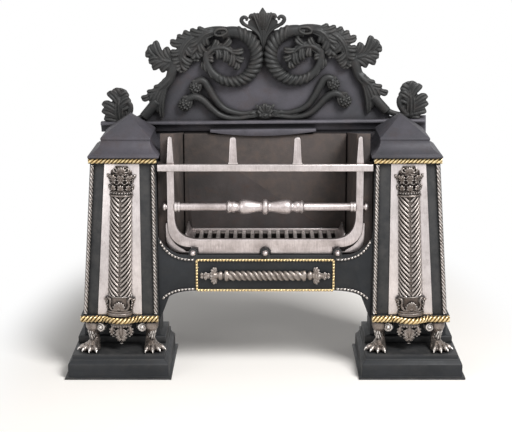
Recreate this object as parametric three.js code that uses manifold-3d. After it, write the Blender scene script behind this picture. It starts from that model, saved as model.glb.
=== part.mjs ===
// A free-standing cast iron fire grate: two tapering pylons on stepped plinths carry an apron,
// a polished steel fire basket, an iron back and a scrolled crest.
// Millimetres. X runs to the right, Y to the back, Z up from the floor. The front faces -Y.
import * as THREE from "three";
import { mergeVertices } from "three/addons/utils/BufferGeometryUtils.js";
import Module from "manifold-3d";

// ---------- driving sizes ----------
const overallWidth = 960;
const overallDepth = 258;
const seat = 0.3; // clearance between pieces that bear on each other

const plinth = {
  width: 255,
  flangeHeight: 5,
  slabHeight: 30,
  bevelHeight: 8,
  stepHeight: 15,
  slabInset: 7,
  bevelInset: 7,
  stepInset: 3,
  wall: 9,
};
const pedestal = {
  blockHeight: 18,
  frontSetback: 106,
  backSetback: 30,
  sideInset: 20,
  coreInset: 14,
  wall: 8,
};
const foot = { height: 73, setback: 62, splay: 22, legRadius: 19, toes: 4, voluteRadius: 13 };
const baseMoulding = {
  height: 19,
  overhang: 6,
  backSetback: 40,
  bowProjection: 18,
  bowWidth: 82,
  ropeRadius: 9,
};
const pylon = {
  height: 367,
  innerMargin: 31,
  outerMargin: 43,
  taper: 27,
  innerDrift: 2,
  bottomSetback: 45,
  topSetback: 57,
  wall: 9,
};
const topMoulding = { height: 16, overhang: 3, ropeRadius: 7.7 };
const cap = {
  outerOverhang: 3,
  innerOverhang: 9,
  frontSetback: 35,
  backSetback: 36,
  eaveHeight: 5.5,
  cymaHeight: 31,
  cymaInset: 34,
  filletHeight: 6,
  filletLip: 1.5,
  pyramidHeight: 47,
  wall: 9,
};
const facing = { innerMargin: 40, outerMargin: 35, topInnerMargin: 38, topOuterMargin: 34, thickness: 3 };
const column = {
  shaftBottomRadius: 29,
  shaftTopRadius: 25.5,
  relief: 3.2,
  flutes: 16,
  rise: 0.75,
  baseHeight: 50,
  capitalHeight: 72,
  capitalGap: 5,
  depthRatio: 0.8,
};
const pendant = { height: 52, radius: 27, dishHeight: 9 };
const cornerRope = { radius: 5, pitch: 22, inset: 6 };
const ropePitch = 16;

const apron = {
  setback: 52,
  thickness: 12,
  topHeight: 295,
  bottomHeight: 207.5,
  flatInset: 93,
  hornRise: 43,
  legDrop: 74.5,
  shelfDepth: 28,
  shelfThickness: 11,
};
const bead = { radius: 3.6, pitch: 12, margin: 8 };
const panel = { margin: 1, bottomMargin: 1.5, topMargin: 11 };
const staff = { radius: 13, pitch: 16, crownHalf: 21, leafWidth: 20 };

const basket = {
  setback: 61,
  thickness: 13,
  sideGap: 23.5,
  bar: 17,
  bottomRise: 17,
  bottomBar: 20,
  skirt: 16,
  innerCorner: 58,
  outerCorner: 60,
  tipRise: 64.5,
  tipWidth: 9,
};
const topBar = { drop: 18, height: 16.5, thickness: 12, endGap: 2 };
const spike = { baseWidth: 20, tipWidth: 14, thickness: 9, collar: 4, collarLip: 1.5 };
const middleBar = { drop: 89, radius: 17.3, rodRadius: 8.5, tenonRadius: 4, collarRadius: 11 };
const endKnob = { length: 13, radius: 9.4 };
const mountPlate = { thickness: 6, band: 28, hornRise: 56, hornWidth: 7, gap: 7 };
const nut = { inset: 83.5, rise: 5.5, radius: 7, length: 10, notchRadius: 12 };

const grate = {
  bars: 18,
  barWidth: 9,
  depth: 25,
  sideClearance: 25,
  frontGap: 5,
  backGap: 12,
  rail: 9,
  sideRise: 20,
};
const cheek = { thickness: 8, frontInset: 39, backInset: 52.5 };
const fireback = { thickness: 24, bottom: 284, ledge: 14, ledgeInset: 20 };
const backPlate = { thickness: 12, bottom: 292, endInset: 2 };
const cornice = {
  endInset: 80,
  height: 26,
  rise: 75,
  projection: 21,
  tilt: 0.54,
  lipDrop: 20,
  lipThickness: 8,
};
const crest = { tilt: 1.35, height: 280, relief: 21 };
const scroll = { gap: 5.8, ribs: 14 };

// ---------- levels and planes worked out from them ----------
const frontY = -overallDepth / 2;
const backY = overallDepth / 2;
const plinthTop = plinth.flangeHeight + plinth.slabHeight + plinth.bevelHeight + plinth.stepHeight;
const footTop = plinthTop + foot.height;
const pylonBottom = footTop + baseMoulding.height;
const pylonTop = pylonBottom + pylon.height;
const capBottom = pylonTop + topMoulding.height;
const plinthInner = overallWidth / 2 - plinth.width;
const pylonInner = plinthInner + pylon.innerMargin;
const pylonBottomWidth = plinth.width - pylon.innerMargin - pylon.outerMargin;
const pylonCentre = pylonInner + pylonBottomWidth / 2;
const backPlateY = backY - backPlate.thickness;
const capBackY = backY - cap.backSetback;

const apronY = frontY + apron.setback;
const apronHalf = pylonInner - apron.flatInset;
const panelHalf = apronHalf - panel.margin;
const panelBottom = apron.bottomHeight + panel.bottomMargin;
const panelTop = apron.topHeight - panel.topMargin;
const basketY = frontY + basket.setback;
const basketHalf = pylonInner - basket.sideGap;
const basketBottom = apron.topHeight + basket.bottomRise;
const topBarBottom = pylonTop - topBar.drop;
const topBarTop = topBarBottom + topBar.height;
const middleBarHeight = topBarBottom - middleBar.drop;
const tipHeight = topBarTop + basket.tipRise;
const mountPlateY = basketY + basket.thickness + seat;
const liningY = mountPlateY + mountPlate.thickness + seat;
const firebackY = backPlateY - seat - fireback.thickness;
const grateBottom = apron.topHeight + seat;
const grateTop = grateBottom + grate.depth;
const nutX = pylonInner - nut.inset;
const nutHeight = apron.topHeight + nut.rise;

const crestHalf = overallWidth / 2 - cornice.endInset;
const corniceTop = pylonTop + cornice.rise;
const corniceBottom = corniceTop - cornice.height;
const liningTop = corniceBottom - cornice.projection / 3;
const scrollRadius = 0.196 * crest.height;
const scrollTube = 0.047 * crest.height;
const scrollX = scrollRadius + scrollTube + scroll.gap;
const crestX = (share) => share * crestHalf;
const crestZ = (share) => corniceTop + share * crest.height;
const scrollZ = crestZ(0.571);

// ---------- materials ----------
function material(color, metalness, roughness) {
  return new THREE.MeshStandardMaterial({ color, metalness, roughness });
}
const blackIron = material(0x33363a, 0.6, 0.55);
const greyIron = material(0x4a4a48, 0.6, 0.6);
const burntIron = material(0x5a5352, 0.5, 0.7);
const steel = material(0xd9d0cf, 0.9, 0.35);
const silvered = material(0xb0a79f, 0.9, 0.35);
const gilt = material(0xc9a86a, 0.9, 0.35);

// ---------- solids ----------
const wasm = await Module();
wasm.setup();

function toSolid(geometry) {
  const bare = new THREE.BufferGeometry();
  const loose = geometry.index ? geometry.toNonIndexed() : geometry;
  bare.setAttribute("position", loose.getAttribute("position"));
  const merged = mergeVertices(bare, 1e-3);
  const mesh = new wasm.Mesh({
    numProp: 3,
    vertProperties: merged.attributes.position.array,
    triVerts: new Uint32Array(merged.index.array),
  });
  return new wasm.Manifold(mesh);
}

function toGeometry(solid) {
  const mesh = solid.getMesh();
  const geometry = new THREE.BufferGeometry();
  geometry.setAttribute("position", new THREE.BufferAttribute(mesh.vertProperties, 3));
  geometry.setIndex(new THREE.BufferAttribute(mesh.triVerts, 1));
  geometry.computeVertexNormals();
  return geometry;
}

function join(...geometries) {
  return toGeometry(geometries.map(toSolid).reduce((sum, next) => sum.add(next)));
}

function cut(geometry, ...tools) {
  return toGeometry(tools.map(toSolid).reduce((rest, tool) => rest.subtract(tool), toSolid(geometry)));
}

function box(x0, x1, y0, y1, z0, z1) {
  const geometry = new THREE.BoxGeometry(x1 - x0, y1 - y0, z1 - z0);
  return geometry.translate((x0 + x1) / 2, (y0 + y1) / 2, (z0 + z1) / 2);
}

// A closed skin through rings that have the same number of points.
function loft(rings) {
  const count = rings[0].length;
  const points = rings.flat();
  const faces = [];
  for (let ring = 0; ring < rings.length - 1; ring++) {
    for (let i = 0; i < count; i++) {
      const a = ring * count + i;
      const b = ring * count + ((i + 1) % count);
      faces.push(a, b, b + count, a, b + count, a + count);
    }
  }
  const ends = [
    { start: 0, turned: true },
    { start: (rings.length - 1) * count, turned: false },
  ];
  for (const { start, turned } of ends) {
    const middle = new THREE.Vector3();
    for (let i = 0; i < count; i++) middle.addScaledVector(points[start + i], 1 / count);
    points.push(middle);
    for (let i = 0; i < count; i++) {
      const a = start + i;
      const b = start + ((i + 1) % count);
      if (turned) faces.push(points.length - 1, b, a);
      else faces.push(points.length - 1, a, b);
    }
  }
  const volume = faces.reduce((sum, _, f) => {
    if (f % 3) return sum;
    const [a, b, c] = [points[faces[f]], points[faces[f + 1]], points[faces[f + 2]]];
    return sum + a.dot(b.clone().cross(c));
  }, 0);
  if (volume < 0) faces.reverse();
  const geometry = new THREE.BufferGeometry().setFromPoints(points);
  geometry.setIndex(faces);
  geometry.computeVertexNormals();
  return geometry;
}

// A front view outline in X and Z, extruded from its face towards the back.
function plate(shape, faceY, thickness, curveSegments = 6) {
  const geometry = new THREE.ExtrudeGeometry(shape, {
    depth: thickness,
    bevelEnabled: false,
    curveSegments,
  });
  return geometry.rotateX(Math.PI / 2).translate(0, faceY + thickness, 0);
}

// A plan outline in X and Y, extruded upwards.
function prism(shape, bottom, height, curveSegments = 8) {
  const geometry = new THREE.ExtrudeGeometry(shape, {
    depth: height,
    bevelEnabled: false,
    curveSegments,
  });
  return geometry.translate(0, 0, bottom);
}

function outline(points) {
  return new THREE.Shape(points.map(([x, y]) => new THREE.Vector2(x, y)));
}

// A rectangle in plan at one level, as a ring for loft.
function rectangle(x0, x1, y0, y1, z) {
  return [
    new THREE.Vector3(x0, y0, z),
    new THREE.Vector3(x1, y0, z),
    new THREE.Vector3(x1, y1, z),
    new THREE.Vector3(x0, y1, z),
  ];
}

// A rod along a curve whose radius swells and shrinks once in each pitch: slanted rings read as
// the strands of a rope, upright ones as a row of beads.
function strand(curve, facingOut, radius, options) {
  const { pitch, slant = 0, valley = 0.75, sides = 6, flatness = 1, lift = true } = options;
  const length = curve.getLength();
  const steps = Math.max(2, 2 * Math.round(length / pitch));
  const backReach = sides % 2 ? 1 : Math.cos(Math.PI / sides);
  const rings = [];
  for (let step = 0; step <= steps; step++) {
    const at = step / steps;
    const along = curve.getTangentAt(at).normalize();
    const across = along.clone().cross(facingOut).normalize();
    const size = step % 2 ? radius : radius * valley;
    const centre = curve.getPointAt(at);
    if (lift) centre.addScaledVector(facingOut, radius * flatness * backReach + seat);
    const ring = [];
    for (let side = 0; side < sides; side++) {
      const angle = (2 * Math.PI * (side + 0.5)) / sides;
      const skew = step === 0 || step === steps ? 0 : slant * radius * Math.sin(angle);
      const point = centre.clone();
      point.addScaledVector(facingOut, flatness * size * Math.cos(angle));
      point.addScaledVector(across, size * Math.sin(angle));
      point.addScaledVector(along, skew);
      ring.push(point);
    }
    rings.push(ring);
  }
  return loft(rings);
}

// A smooth rod along a curve whose radius runs through a list of radii.
function rod(curve, radii, steps, sides, flatness, out = new THREE.Vector3(0, -1, 0)) {
  const rings = [];
  for (let step = 0; step <= steps; step++) {
    const at = step / steps;
    const along = curve.getTangentAt(at).normalize();
    const across = along.clone().cross(out).normalize();
    const place = at * (radii.length - 1);
    const low = Math.min(Math.floor(place), radii.length - 2);
    const size = THREE.MathUtils.lerp(radii[low], radii[low + 1], place - low);
    const ring = [];
    for (let side = 0; side < sides; side++) {
      const angle = (2 * Math.PI * side) / sides;
      const point = curve.getPointAt(at);
      point.addScaledVector(out, flatness * size * Math.cos(angle));
      point.addScaledVector(across, size * Math.sin(angle));
      ring.push(point);
    }
    rings.push(ring);
  }
  return loft(rings);
}

// A half round turned form standing against a flat face, its section scalloped by lobes.
function halfRound(stations, segments, lobes = 0, depthRatio = column.depthRatio) {
  const rings = stations.map(({ z, r, scallop = 0 }) => {
    const ring = [];
    for (let i = 0; i <= segments; i++) {
      const angle = (Math.PI * i) / segments - Math.PI / 2;
      const size = r * (1 + scallop * Math.cos(2 * lobes * angle));
      ring.push(new THREE.Vector3(size * Math.sin(angle), -depthRatio * size * Math.cos(angle), z));
    }
    return ring;
  });
  return loft(rings);
}

function spline(...points) {
  return new THREE.CatmullRomCurve3(points.map(([x, z, y = 0]) => new THREE.Vector3(x, y, z)));
}

// An acanthus leaf in front view: its spine is a curve, and its half width follows the lobes.
function leaf(spine, width, lobes, faceY, thickness, stemWidth = 0.25) {
  const left = [];
  const right = [];
  const steps = lobes * 2;
  for (let step = 0; step <= steps; step++) {
    const at = step / steps;
    const centre = spine.getPointAt(at);
    const along = spine.getTangentAt(at);
    const swell = stemWidth + (1 - stemWidth) * Math.sin(Math.PI * Math.min(1, 0.15 + at * 0.85)) ** 0.8;
    const notch = step % 2 ? 1 : 0.66;
    const half = step === steps ? 0.5 : (width / 2) * swell * notch;
    left.push([centre.x - along.z * half, centre.z + along.x * half]);
    right.push([centre.x + along.z * half, centre.z - along.x * half]);
  }
  return plate(outline([...left, ...right.reverse()]), faceY, thickness);
}

// ---------- parts of one side, drawn for the right and mirrored for the left ----------
function plinthGeometry() {
  const level = (z, inset) =>
    rectangle(plinthInner + inset, overallWidth / 2 - inset, frontY + inset, backY - inset, z);
  const slabTop = plinth.flangeHeight + plinth.slabHeight;
  const bevelInset = plinth.slabInset + plinth.bevelInset;
  const block = loft([
    level(0, 0),
    level(plinth.flangeHeight, 0),
    level(plinth.flangeHeight, plinth.slabInset),
    level(slabTop, plinth.slabInset),
    level(slabTop + plinth.bevelHeight, bevelInset),
    level(plinthTop, bevelInset + plinth.stepInset),
  ]);
  // Cast hollow, open to the floor.
  const lining = plinth.slabInset + plinth.wall;
  const hollow = loft([
    level(-1, lining),
    level(slabTop - plinth.wall / 2, lining),
    level(plinthTop - plinth.wall, bevelInset + plinth.stepInset + plinth.wall),
  ]);
  return cut(block, hollow);
}

// A raised block behind the feet with a hollow core that carries the back of the pylon.
function pedestalGeometry() {
  const x0 = plinthInner + pedestal.sideInset;
  const x1 = overallWidth / 2 - pedestal.sideInset;
  const y0 = frontY + pedestal.frontSetback;
  const y1 = backY - pedestal.backSetback;
  const blockTop = plinthTop + pedestal.blockHeight;
  const block = box(x0, x1, y0, y1, plinthTop, blockTop);
  const inset = pedestal.coreInset;
  const core = box(x0 + inset, x1 - inset, y0 + inset, y1 - inset, blockTop - 1, footTop);
  const lining = inset + pedestal.wall;
  const roof = footTop - pedestal.wall;
  const hollow = box(x0 + lining, x1 - lining, y0 + lining, y1 - lining, plinthTop - 1, roof);
  return cut(join(block, core), hollow);
}

// A lion's paw: a leg that narrows to the ankle, spread toes, and a volute beside its top.
function pawGeometry() {
  const stations = [
    { z: foot.height - seat, y: 0.2, r: 1 },
    { z: foot.height * 0.84, y: 0, r: 1.1 },
    { z: foot.height * 0.62, y: 0.3, r: 0.72 },
    { z: foot.height * 0.42, y: 0.47, r: 0.55 },
    { z: foot.height * 0.24, y: 0.1, r: 0.8 },
    { z: foot.height * 0.1, y: -0.3, r: 1.1 },
    { z: 0, y: -0.42, r: 1.15 },
  ];
  const leg = loft(
    stations.map(({ z, y, r }) => {
      const ring = [];
      for (let i = 0; i < 6; i++) {
        const angle = (2 * Math.PI * i) / 6;
        const size = foot.legRadius * r;
        const depth = foot.legRadius * y + size * Math.sin(angle);
        ring.push(new THREE.Vector3(size * Math.cos(angle), depth, z));
      }
      return ring;
    }),
  );
  const toes = [];
  for (let i = 0; i < foot.toes; i++) {
    const angle = THREE.MathUtils.degToRad((i - (foot.toes - 1) / 2) * 26);
    const r = foot.legRadius;
    const toe = new THREE.SphereGeometry(r, 5, 4).scale(0.4, 0.8, 0.53);
    toe.translate(0, -1.3 * r, 0.37 * r).rotateZ(angle).translate(0, -0.1 * r, 0);
    toes.push(toe);
  }
  const roll = foot.voluteRadius;
  const rollX = -foot.legRadius - 0.4 * roll;
  const rollZ = foot.height - 1.08 * roll;
  const volute = new THREE.CylinderGeometry(roll, roll, 1.4 * roll, 8).translate(rollX, 0, rollZ);
  const eye = new THREE.SphereGeometry(0.46 * roll, 5, 3).translate(rollX, -0.7 * roll, rollZ);
  const paw = join(leg, ...toes, volute, eye);
  const reach = 2 * foot.height;
  return cut(paw, box(-reach, reach, -reach, reach, -reach, 0));
}

function bowedFront(x0, x1, y) {
  const half = baseMoulding.bowWidth / 2;
  const out = baseMoulding.bowProjection;
  const curve = new THREE.CurvePath();
  const at = (x, depth) => new THREE.Vector3(x, depth, 0);
  curve.add(new THREE.LineCurve3(at(x0, y), at(pylonCentre - half, y)));
  curve.add(
    new THREE.CubicBezierCurve3(
      at(pylonCentre - half, y),
      at(pylonCentre - half * 0.5, y - out * 1.33),
      at(pylonCentre + half * 0.5, y - out * 1.33),
      at(pylonCentre + half, y),
    ),
  );
  curve.add(new THREE.LineCurve3(at(pylonCentre + half, y), at(x1, y)));
  return curve;
}

// The board under the pylon: its front edge bows out below the column and carries a gilt rope.
function baseMouldingGeometry() {
  const x0 = pylonInner;
  const x1 = pylonInner + pylonBottomWidth + baseMoulding.overhang;
  const y1 = backY - baseMoulding.backSetback;
  const y = frontY + pylon.bottomSetback - baseMoulding.overhang;
  const front = bowedFront(x0, x1, y);
  const ring = front.curves[1].getPoints(10).map((p) => [p.x, p.y]);
  const board = prism(
    outline([[x0, y], ...ring, [x1, y], [x1, y1], [x0, y1]]),
    footTop,
    baseMoulding.height,
  );
  const path = new THREE.CatmullRomCurve3(front.getSpacedPoints(24));
  const rope = strand(path, new THREE.Vector3(0, 0, 1), baseMoulding.ropeRadius, {
    pitch: ropePitch,
    slant: 0.7,
    valley: 0.82,
    sides: 5,
    lift: false,
  });
  return join(board, rope.translate(0, -1, footTop + baseMoulding.height / 2));
}

function pylonEdges(at) {
  return {
    inner: pylonInner + pylon.innerDrift * at,
    outer: pylonInner + pylonBottomWidth + (pylon.innerDrift - pylon.taper) * at,
    front: frontY + THREE.MathUtils.lerp(pylon.bottomSetback, pylon.topSetback, at),
  };
}

// The pylon casing: a tapered shell, open below and at the back, where the back plate closes it.
function pylonGeometry() {
  const outerRing = (at) => {
    const { inner, outer, front } = pylonEdges(at);
    return rectangle(inner, outer, front, backPlateY - seat, pylonBottom + pylon.height * at);
  };
  const innerRing = (at, z) => {
    const { inner, outer, front } = pylonEdges(at);
    return rectangle(inner + pylon.wall, outer - pylon.wall, front + pylon.wall, backY, z);
  };
  return cut(
    loft([outerRing(0), outerRing(1)]),
    loft([innerRing(0, pylonBottom - 1), innerRing(1, pylonTop - pylon.wall)]),
  );
}

function topMouldingGeometry() {
  const { inner, outer, front } = pylonEdges(1);
  const x0 = inner - topMoulding.overhang;
  const x1 = outer + topMoulding.overhang;
  const y = front - topMoulding.ropeRadius;
  const board = box(x0, x1, y, capBackY, pylonTop, capBottom);
  const path = new THREE.LineCurve3(
    new THREE.Vector3(x0, y, 0),
    new THREE.Vector3(x1, y, 0),
  );
  const rope = strand(path, new THREE.Vector3(0, 0, 1), topMoulding.ropeRadius, {
    pitch: ropePitch,
    slant: 0.7,
    valley: 0.82,
    sides: 5,
    lift: false,
  });
  return join(board, rope.translate(0, -1, pylonTop + topMoulding.height / 2));
}

// The roof of the pylon: an eave, a scooped curve, a fillet and a pyramid, cut square at the back.
function capGeometry() {
  const { inner, outer } = pylonEdges(1);
  const x0 = inner - cap.innerOverhang;
  const x1 = outer + cap.outerOverhang;
  const y0 = frontY + cap.frontSetback;
  const level = (z, inset) => rectangle(x0 + inset, x1 - inset, y0 + inset, capBackY, z);
  const eaveTop = capBottom + cap.eaveHeight;
  const rings = [level(capBottom, 0)];
  const scoop = new THREE.QuadraticBezierCurve(
    new THREE.Vector2(0, 0),
    new THREE.Vector2(cap.cymaInset * 0.78, cap.cymaHeight * 0.26),
    new THREE.Vector2(cap.cymaInset, cap.cymaHeight),
  );
  for (const point of scoop.getPoints(7)) rings.push(level(eaveTop + point.y, point.x));
  const filletBottom = eaveTop + cap.cymaHeight;
  const filletTop = filletBottom + cap.filletHeight;
  const lip = cap.cymaInset - cap.filletLip;
  rings.push(level(filletBottom + 0.8, lip), level(filletTop, lip));
  const body = loft(rings);
  const apexX = (x0 + x1) / 2;
  const apexY = (y0 + lip + capBackY) / 2;
  const apex = rectangle(apexX - 1, apexX + 1, apexY - 1, apexY + 1, filletTop + cap.pyramidHeight);
  const pyramid = loft([level(filletTop - 1, lip + 1), apex]);
  // Cast hollow, open to the board below.
  const lining = lip + cap.wall;
  const innerApex = apex.map((corner) => corner.clone().setZ(filletTop + cap.pyramidHeight - 2 * cap.wall));
  const hollow = loft([level(capBottom - 1, lining), level(filletTop - cap.wall / 2, lining), innerApex]);
  return cut(join(body, pyramid), hollow);
}

// The polished plate behind the column, in the plane of the pylon's face.
function facingGeometry(faceLength) {
  const bottom = pylonEdges(0);
  const top = pylonEdges(1);
  const shape = outline([
    [bottom.inner + facing.innerMargin, 2 * seat],
    [bottom.outer - facing.outerMargin, 2 * seat],
    [top.outer - facing.topOuterMargin, faceLength - 2 * seat],
    [top.inner + facing.topInnerMargin, faceLength - 2 * seat],
  ]);
  return plate(shape, -facing.thickness - seat, facing.thickness);
}

// The half round shaft: flutes rise from a seam down its middle to both sides.
function shaftGeometry(bottom, top) {
  const half = 4;
  const pitch = (top - bottom) / column.flutes;
  const rings = [];
  for (let row = -4; row <= 2 * column.flutes + 2; row++) {
    const at = THREE.MathUtils.clamp(row / (2 * column.flutes), 0, 1);
    const radius = THREE.MathUtils.lerp(column.shaftBottomRadius, column.shaftTopRadius, at);
    const ring = [];
    for (let i = -half; i <= half; i++) {
      const angle = (Math.PI / 2) * (i / half);
      const seam = i === 0 ? column.relief * 0.9 : 0;
      const size = radius - (row % 2 ? 0 : column.relief) - seam;
      const z = bottom + (row * pitch) / 2 + column.rise * radius * Math.abs(Math.sin(angle));
      const y = -column.depthRatio * size * Math.cos(angle);
      ring.push(new THREE.Vector3(size * Math.sin(angle), y, z));
    }
    rings.push(ring);
  }
  const reach = 2 * column.shaftBottomRadius;
  const slice = box(-reach, reach, -reach, reach / 6, bottom, top);
  return toGeometry(toSolid(loft(rings)).intersect(toSolid(slice)));
}

function capitalGeometry(bottom) {
  const r = column.shaftTopRadius;
  const h = column.capitalHeight;
  return halfRound(
    [
      { z: bottom, r: r + 2 },
      { z: bottom + h * 0.06, r: r + 2 },
      { z: bottom + h * 0.1, r: r - 2 },
      { z: bottom + h * 0.3, r: r - 1, scallop: 0.07 },
      { z: bottom + h * 0.42, r: r + 2, scallop: 0.05 },
      { z: bottom + h * 0.5, r: r - 1 },
      { z: bottom + h * 0.68, r: r + 5, scallop: 0.09 },
      { z: bottom + h * 0.76, r: r + 6, scallop: 0.1 },
      { z: bottom + h * 0.84, r: r - 3, scallop: 0.08 },
      { z: bottom + h, r: r - 11, scallop: 0.1 },
    ],
    14,
    4,
  );
}

function columnBaseGeometry() {
  const r = column.shaftBottomRadius;
  const h = column.baseHeight;
  return halfRound(
    [
      { z: 4 * seat, r: r + 2 },
      { z: h * 0.1, r: r + 2 },
      { z: h * 0.16, r: r - 1 },
      { z: h * 0.3, r: r + 1, scallop: 0.04 },
      { z: h * 0.6, r: r + 3, scallop: 0.08 },
      { z: h * 0.85, r: r + 4, scallop: 0.1 },
      { z: h, r: r + 1, scallop: 0.04 },
    ],
    14,
    4,
  );
}

// A gadrooned dish and a leaf drop that hang below the bow.
function pendantGeometry() {
  const r = pendant.radius;
  const h = pendant.height;
  const d = pendant.dishHeight;
  return halfRound(
    [
      { z: -seat, r: r },
      { z: -d * 0.5, r: r, scallop: 0.06 },
      { z: -d, r: r * 0.8, scallop: 0.08 },
      { z: -d - 3, r: r * 0.62 },
      { z: -h * 0.4, r: r * 0.74, scallop: 0.12 },
      { z: -h * 0.62, r: r * 0.5, scallop: 0.12 },
      { z: -h * 0.85, r: r * 0.2 },
      { z: -h, r: r * 0.06 },
    ],
    14,
    4,
    0.7,
  );
}

function cornerRopeGeometry(faceLength, outer) {
  const bottom = pylonEdges(0);
  const top = pylonEdges(1);
  const inset = cornerRope.inset;
  const x0 = outer ? bottom.outer - inset : bottom.inner + inset;
  const x1 = outer ? top.outer - inset : top.inner + inset;
  const path = new THREE.LineCurve3(
    new THREE.Vector3(x0, 0, 3),
    new THREE.Vector3(x1, 0, faceLength - 3),
  );
  return strand(path, new THREE.Vector3(0, -1, 0), cornerRope.radius, {
    pitch: cornerRope.pitch,
    slant: 0.8,
    valley: 0.78,
    sides: 4,
    flatness: 0.8,
  });
}

function addPiece(group, name, geometry, look) {
  const mesh = new THREE.Mesh(geometry, look);
  mesh.name = name;
  group.add(mesh);
  return mesh;
}

function buildSide(side) {
  const group = new THREE.Group();
  const add = (name, geometry, look) => addPiece(group, side + "_" + name, geometry, look);
  add("plinth", plinthGeometry(), blackIron);
  add("pedestal", pedestalGeometry(), blackIron);

  const legInset = foot.legRadius + 3 * seat;
  for (const outer of [true, false]) {
    const paw = add(outer ? "outer_paw" : "inner_paw", pawGeometry(), silvered);
    const x = outer
      ? pylonInner + pylonBottomWidth - legInset
      : pylonInner + legInset;
    paw.position.set(x, frontY + foot.setback, plinthTop);
    paw.rotation.z = THREE.MathUtils.degToRad(outer ? foot.splay : -foot.splay);
    if (!outer) paw.scale.x = -1;
  }

  add("base_moulding", baseMouldingGeometry(), gilt);
  const drop = add("pendant", pendantGeometry(), silvered);
  drop.position.set(pylonCentre, frontY + pylon.bottomSetback + 4, footTop);
  add("pylon_casing", pylonGeometry(), blackIron);
  add("top_moulding", topMouldingGeometry(), gilt);
  add("cap", capGeometry(), greyIron);

  // What is fixed to the leaning front of the casing.
  const lean = pylon.topSetback - pylon.bottomSetback;
  const faceLength = Math.hypot(pylon.height, lean);
  const face = new THREE.Group();
  face.position.set(0, frontY + pylon.bottomSetback, pylonBottom);
  face.rotation.x = -Math.atan2(lean, pylon.height);
  group.add(face);
  const addToFace = (name, geometry, look) => addPiece(face, side + "_" + name, geometry, look);
  addToFace("steel_facing", facingGeometry(faceLength), steel);
  addToFace("outer_rope", cornerRopeGeometry(faceLength, true), silvered);
  addToFace("inner_rope", cornerRopeGeometry(faceLength, false), silvered);

  // The column stands in the middle of the facing and follows its lean to the inside.
  const middle = ({ inner, outer }, innerMargin, outerMargin) =>
    (inner + innerMargin + outer - outerMargin) / 2;
  const bottomX = middle(pylonEdges(0), facing.innerMargin, facing.outerMargin);
  const topX = middle(pylonEdges(1), facing.topInnerMargin, facing.topOuterMargin);
  const stand = new THREE.Group();
  stand.position.set(bottomX, -facing.thickness - 2 * seat, 0);
  stand.rotation.y = Math.atan2(topX - bottomX, faceLength);
  face.add(stand);
  const capitalBottom = faceLength - column.capitalHeight - column.capitalGap;
  const shaft = shaftGeometry(column.baseHeight + seat, capitalBottom - seat);
  addPiece(stand, side + "_column_base", columnBaseGeometry(), silvered);
  addPiece(stand, side + "_column_shaft", shaft, silvered);
  addPiece(stand, side + "_capital", capitalGeometry(capitalBottom), silvered);
  return group;
}

// ---------- apron ----------
// Draws a shape's right half from points and bends, then the same half mirrored and run backwards.
// A step of two numbers is a straight line, and one of four is a bend past its first pair.
function mirroredShape(steps) {
  const shape = new THREE.Shape();
  shape.moveTo(steps[0][0], steps[0][1]);
  for (const step of steps.slice(1)) {
    if (step.length === 2) shape.lineTo(step[0], step[1]);
    else shape.quadraticCurveTo(...step);
  }
  const ends = steps.map((step) => step.slice(-2));
  shape.lineTo(-ends.at(-1)[0], ends.at(-1)[1]);
  for (let i = steps.length - 1; i > 0; i--) {
    const [x, z] = ends[i - 1];
    if (steps[i].length === 2) shape.lineTo(-x, z);
    else shape.quadraticCurveTo(-steps[i][0], steps[i][1], -x, z);
  }
  return shape;
}

// A round topped tongue or notch about a nut.
function tongue(x, radius, bottom) {
  const shape = new THREE.Shape();
  shape.moveTo(x - radius, bottom);
  shape.lineTo(x + radius, bottom);
  shape.lineTo(x + radius, nutHeight);
  shape.absarc(x, nutHeight, radius, 0, Math.PI, false);
  return shape;
}
const nutPlaces = [-nutX, 0, nutX];

function apronGeometry() {
  const a = apron;
  const side = pylonInner - seat;
  const span = side - apronHalf;
  const low = a.bottomHeight;
  const top = a.topHeight;
  const foot = [side - 6 * seat, footTop + 2 * seat];
  const shape = mirroredShape([
    [apronHalf, low],
    [apronHalf + 0.53 * span, low - 1, apronHalf + 0.73 * span, low - 0.2 * a.legDrop],
    foot,
    [side, pylonBottom],
    [side, top + a.hornRise],
    [apronHalf + 0.79 * span, top + 0.26 * a.hornRise, apronHalf + 0.45 * span, top],
    [apronHalf, top],
  ]);
  const front = plate(shape, apronY, a.thickness, 5);
  const lugs = nutPlaces.map((x) =>
    plate(tongue(x, nut.notchRadius - 5 * seat, top - 2 * nut.radius), apronY, a.thickness, 5),
  );
  const shelfY = apronY + a.thickness;
  const shelf = box(
    -apronHalf,
    apronHalf,
    shelfY - 1,
    shelfY + a.shelfDepth,
    top - a.shelfThickness,
    top,
  );
  return join(front, ...lugs, shelf);
}

function beadRow(curve, sides) {
  return strand(curve, new THREE.Vector3(0, -1, 0), bead.radius, {
    pitch: bead.pitch,
    valley: 0.5,
    sides,
    flatness: 0.9,
  });
}

function upperBeads() {
  const from = panelHalf + bead.margin;
  const to = pylonInner - 1.5 * bead.radius;
  const at = (share, z) => new THREE.Vector3(THREE.MathUtils.lerp(from, to, share), apronY, z);
  const low = apron.topHeight - 3 * bead.radius;
  const high = apron.topHeight + apron.hornRise - 2.2 * bead.radius;
  const curve = new THREE.QuadraticBezierCurve3(at(0, low), at(0.7, low - 1), at(1, high));
  return beadRow(curve, 4);
}

function lowerBeads() {
  const from = panelHalf + bead.margin;
  const to = pylonInner - 2.5 * bead.radius;
  const at = (share, z) => new THREE.Vector3(THREE.MathUtils.lerp(from, to, share), apronY, z);
  const high = apron.bottomHeight + 1.2 * bead.radius;
  const low = apron.bottomHeight - 0.29 * apron.legDrop;
  const curve = new THREE.QuadraticBezierCurve3(at(0, high), at(0.65, high + 1), at(1, low));
  return beadRow(curve, 4);
}

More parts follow.
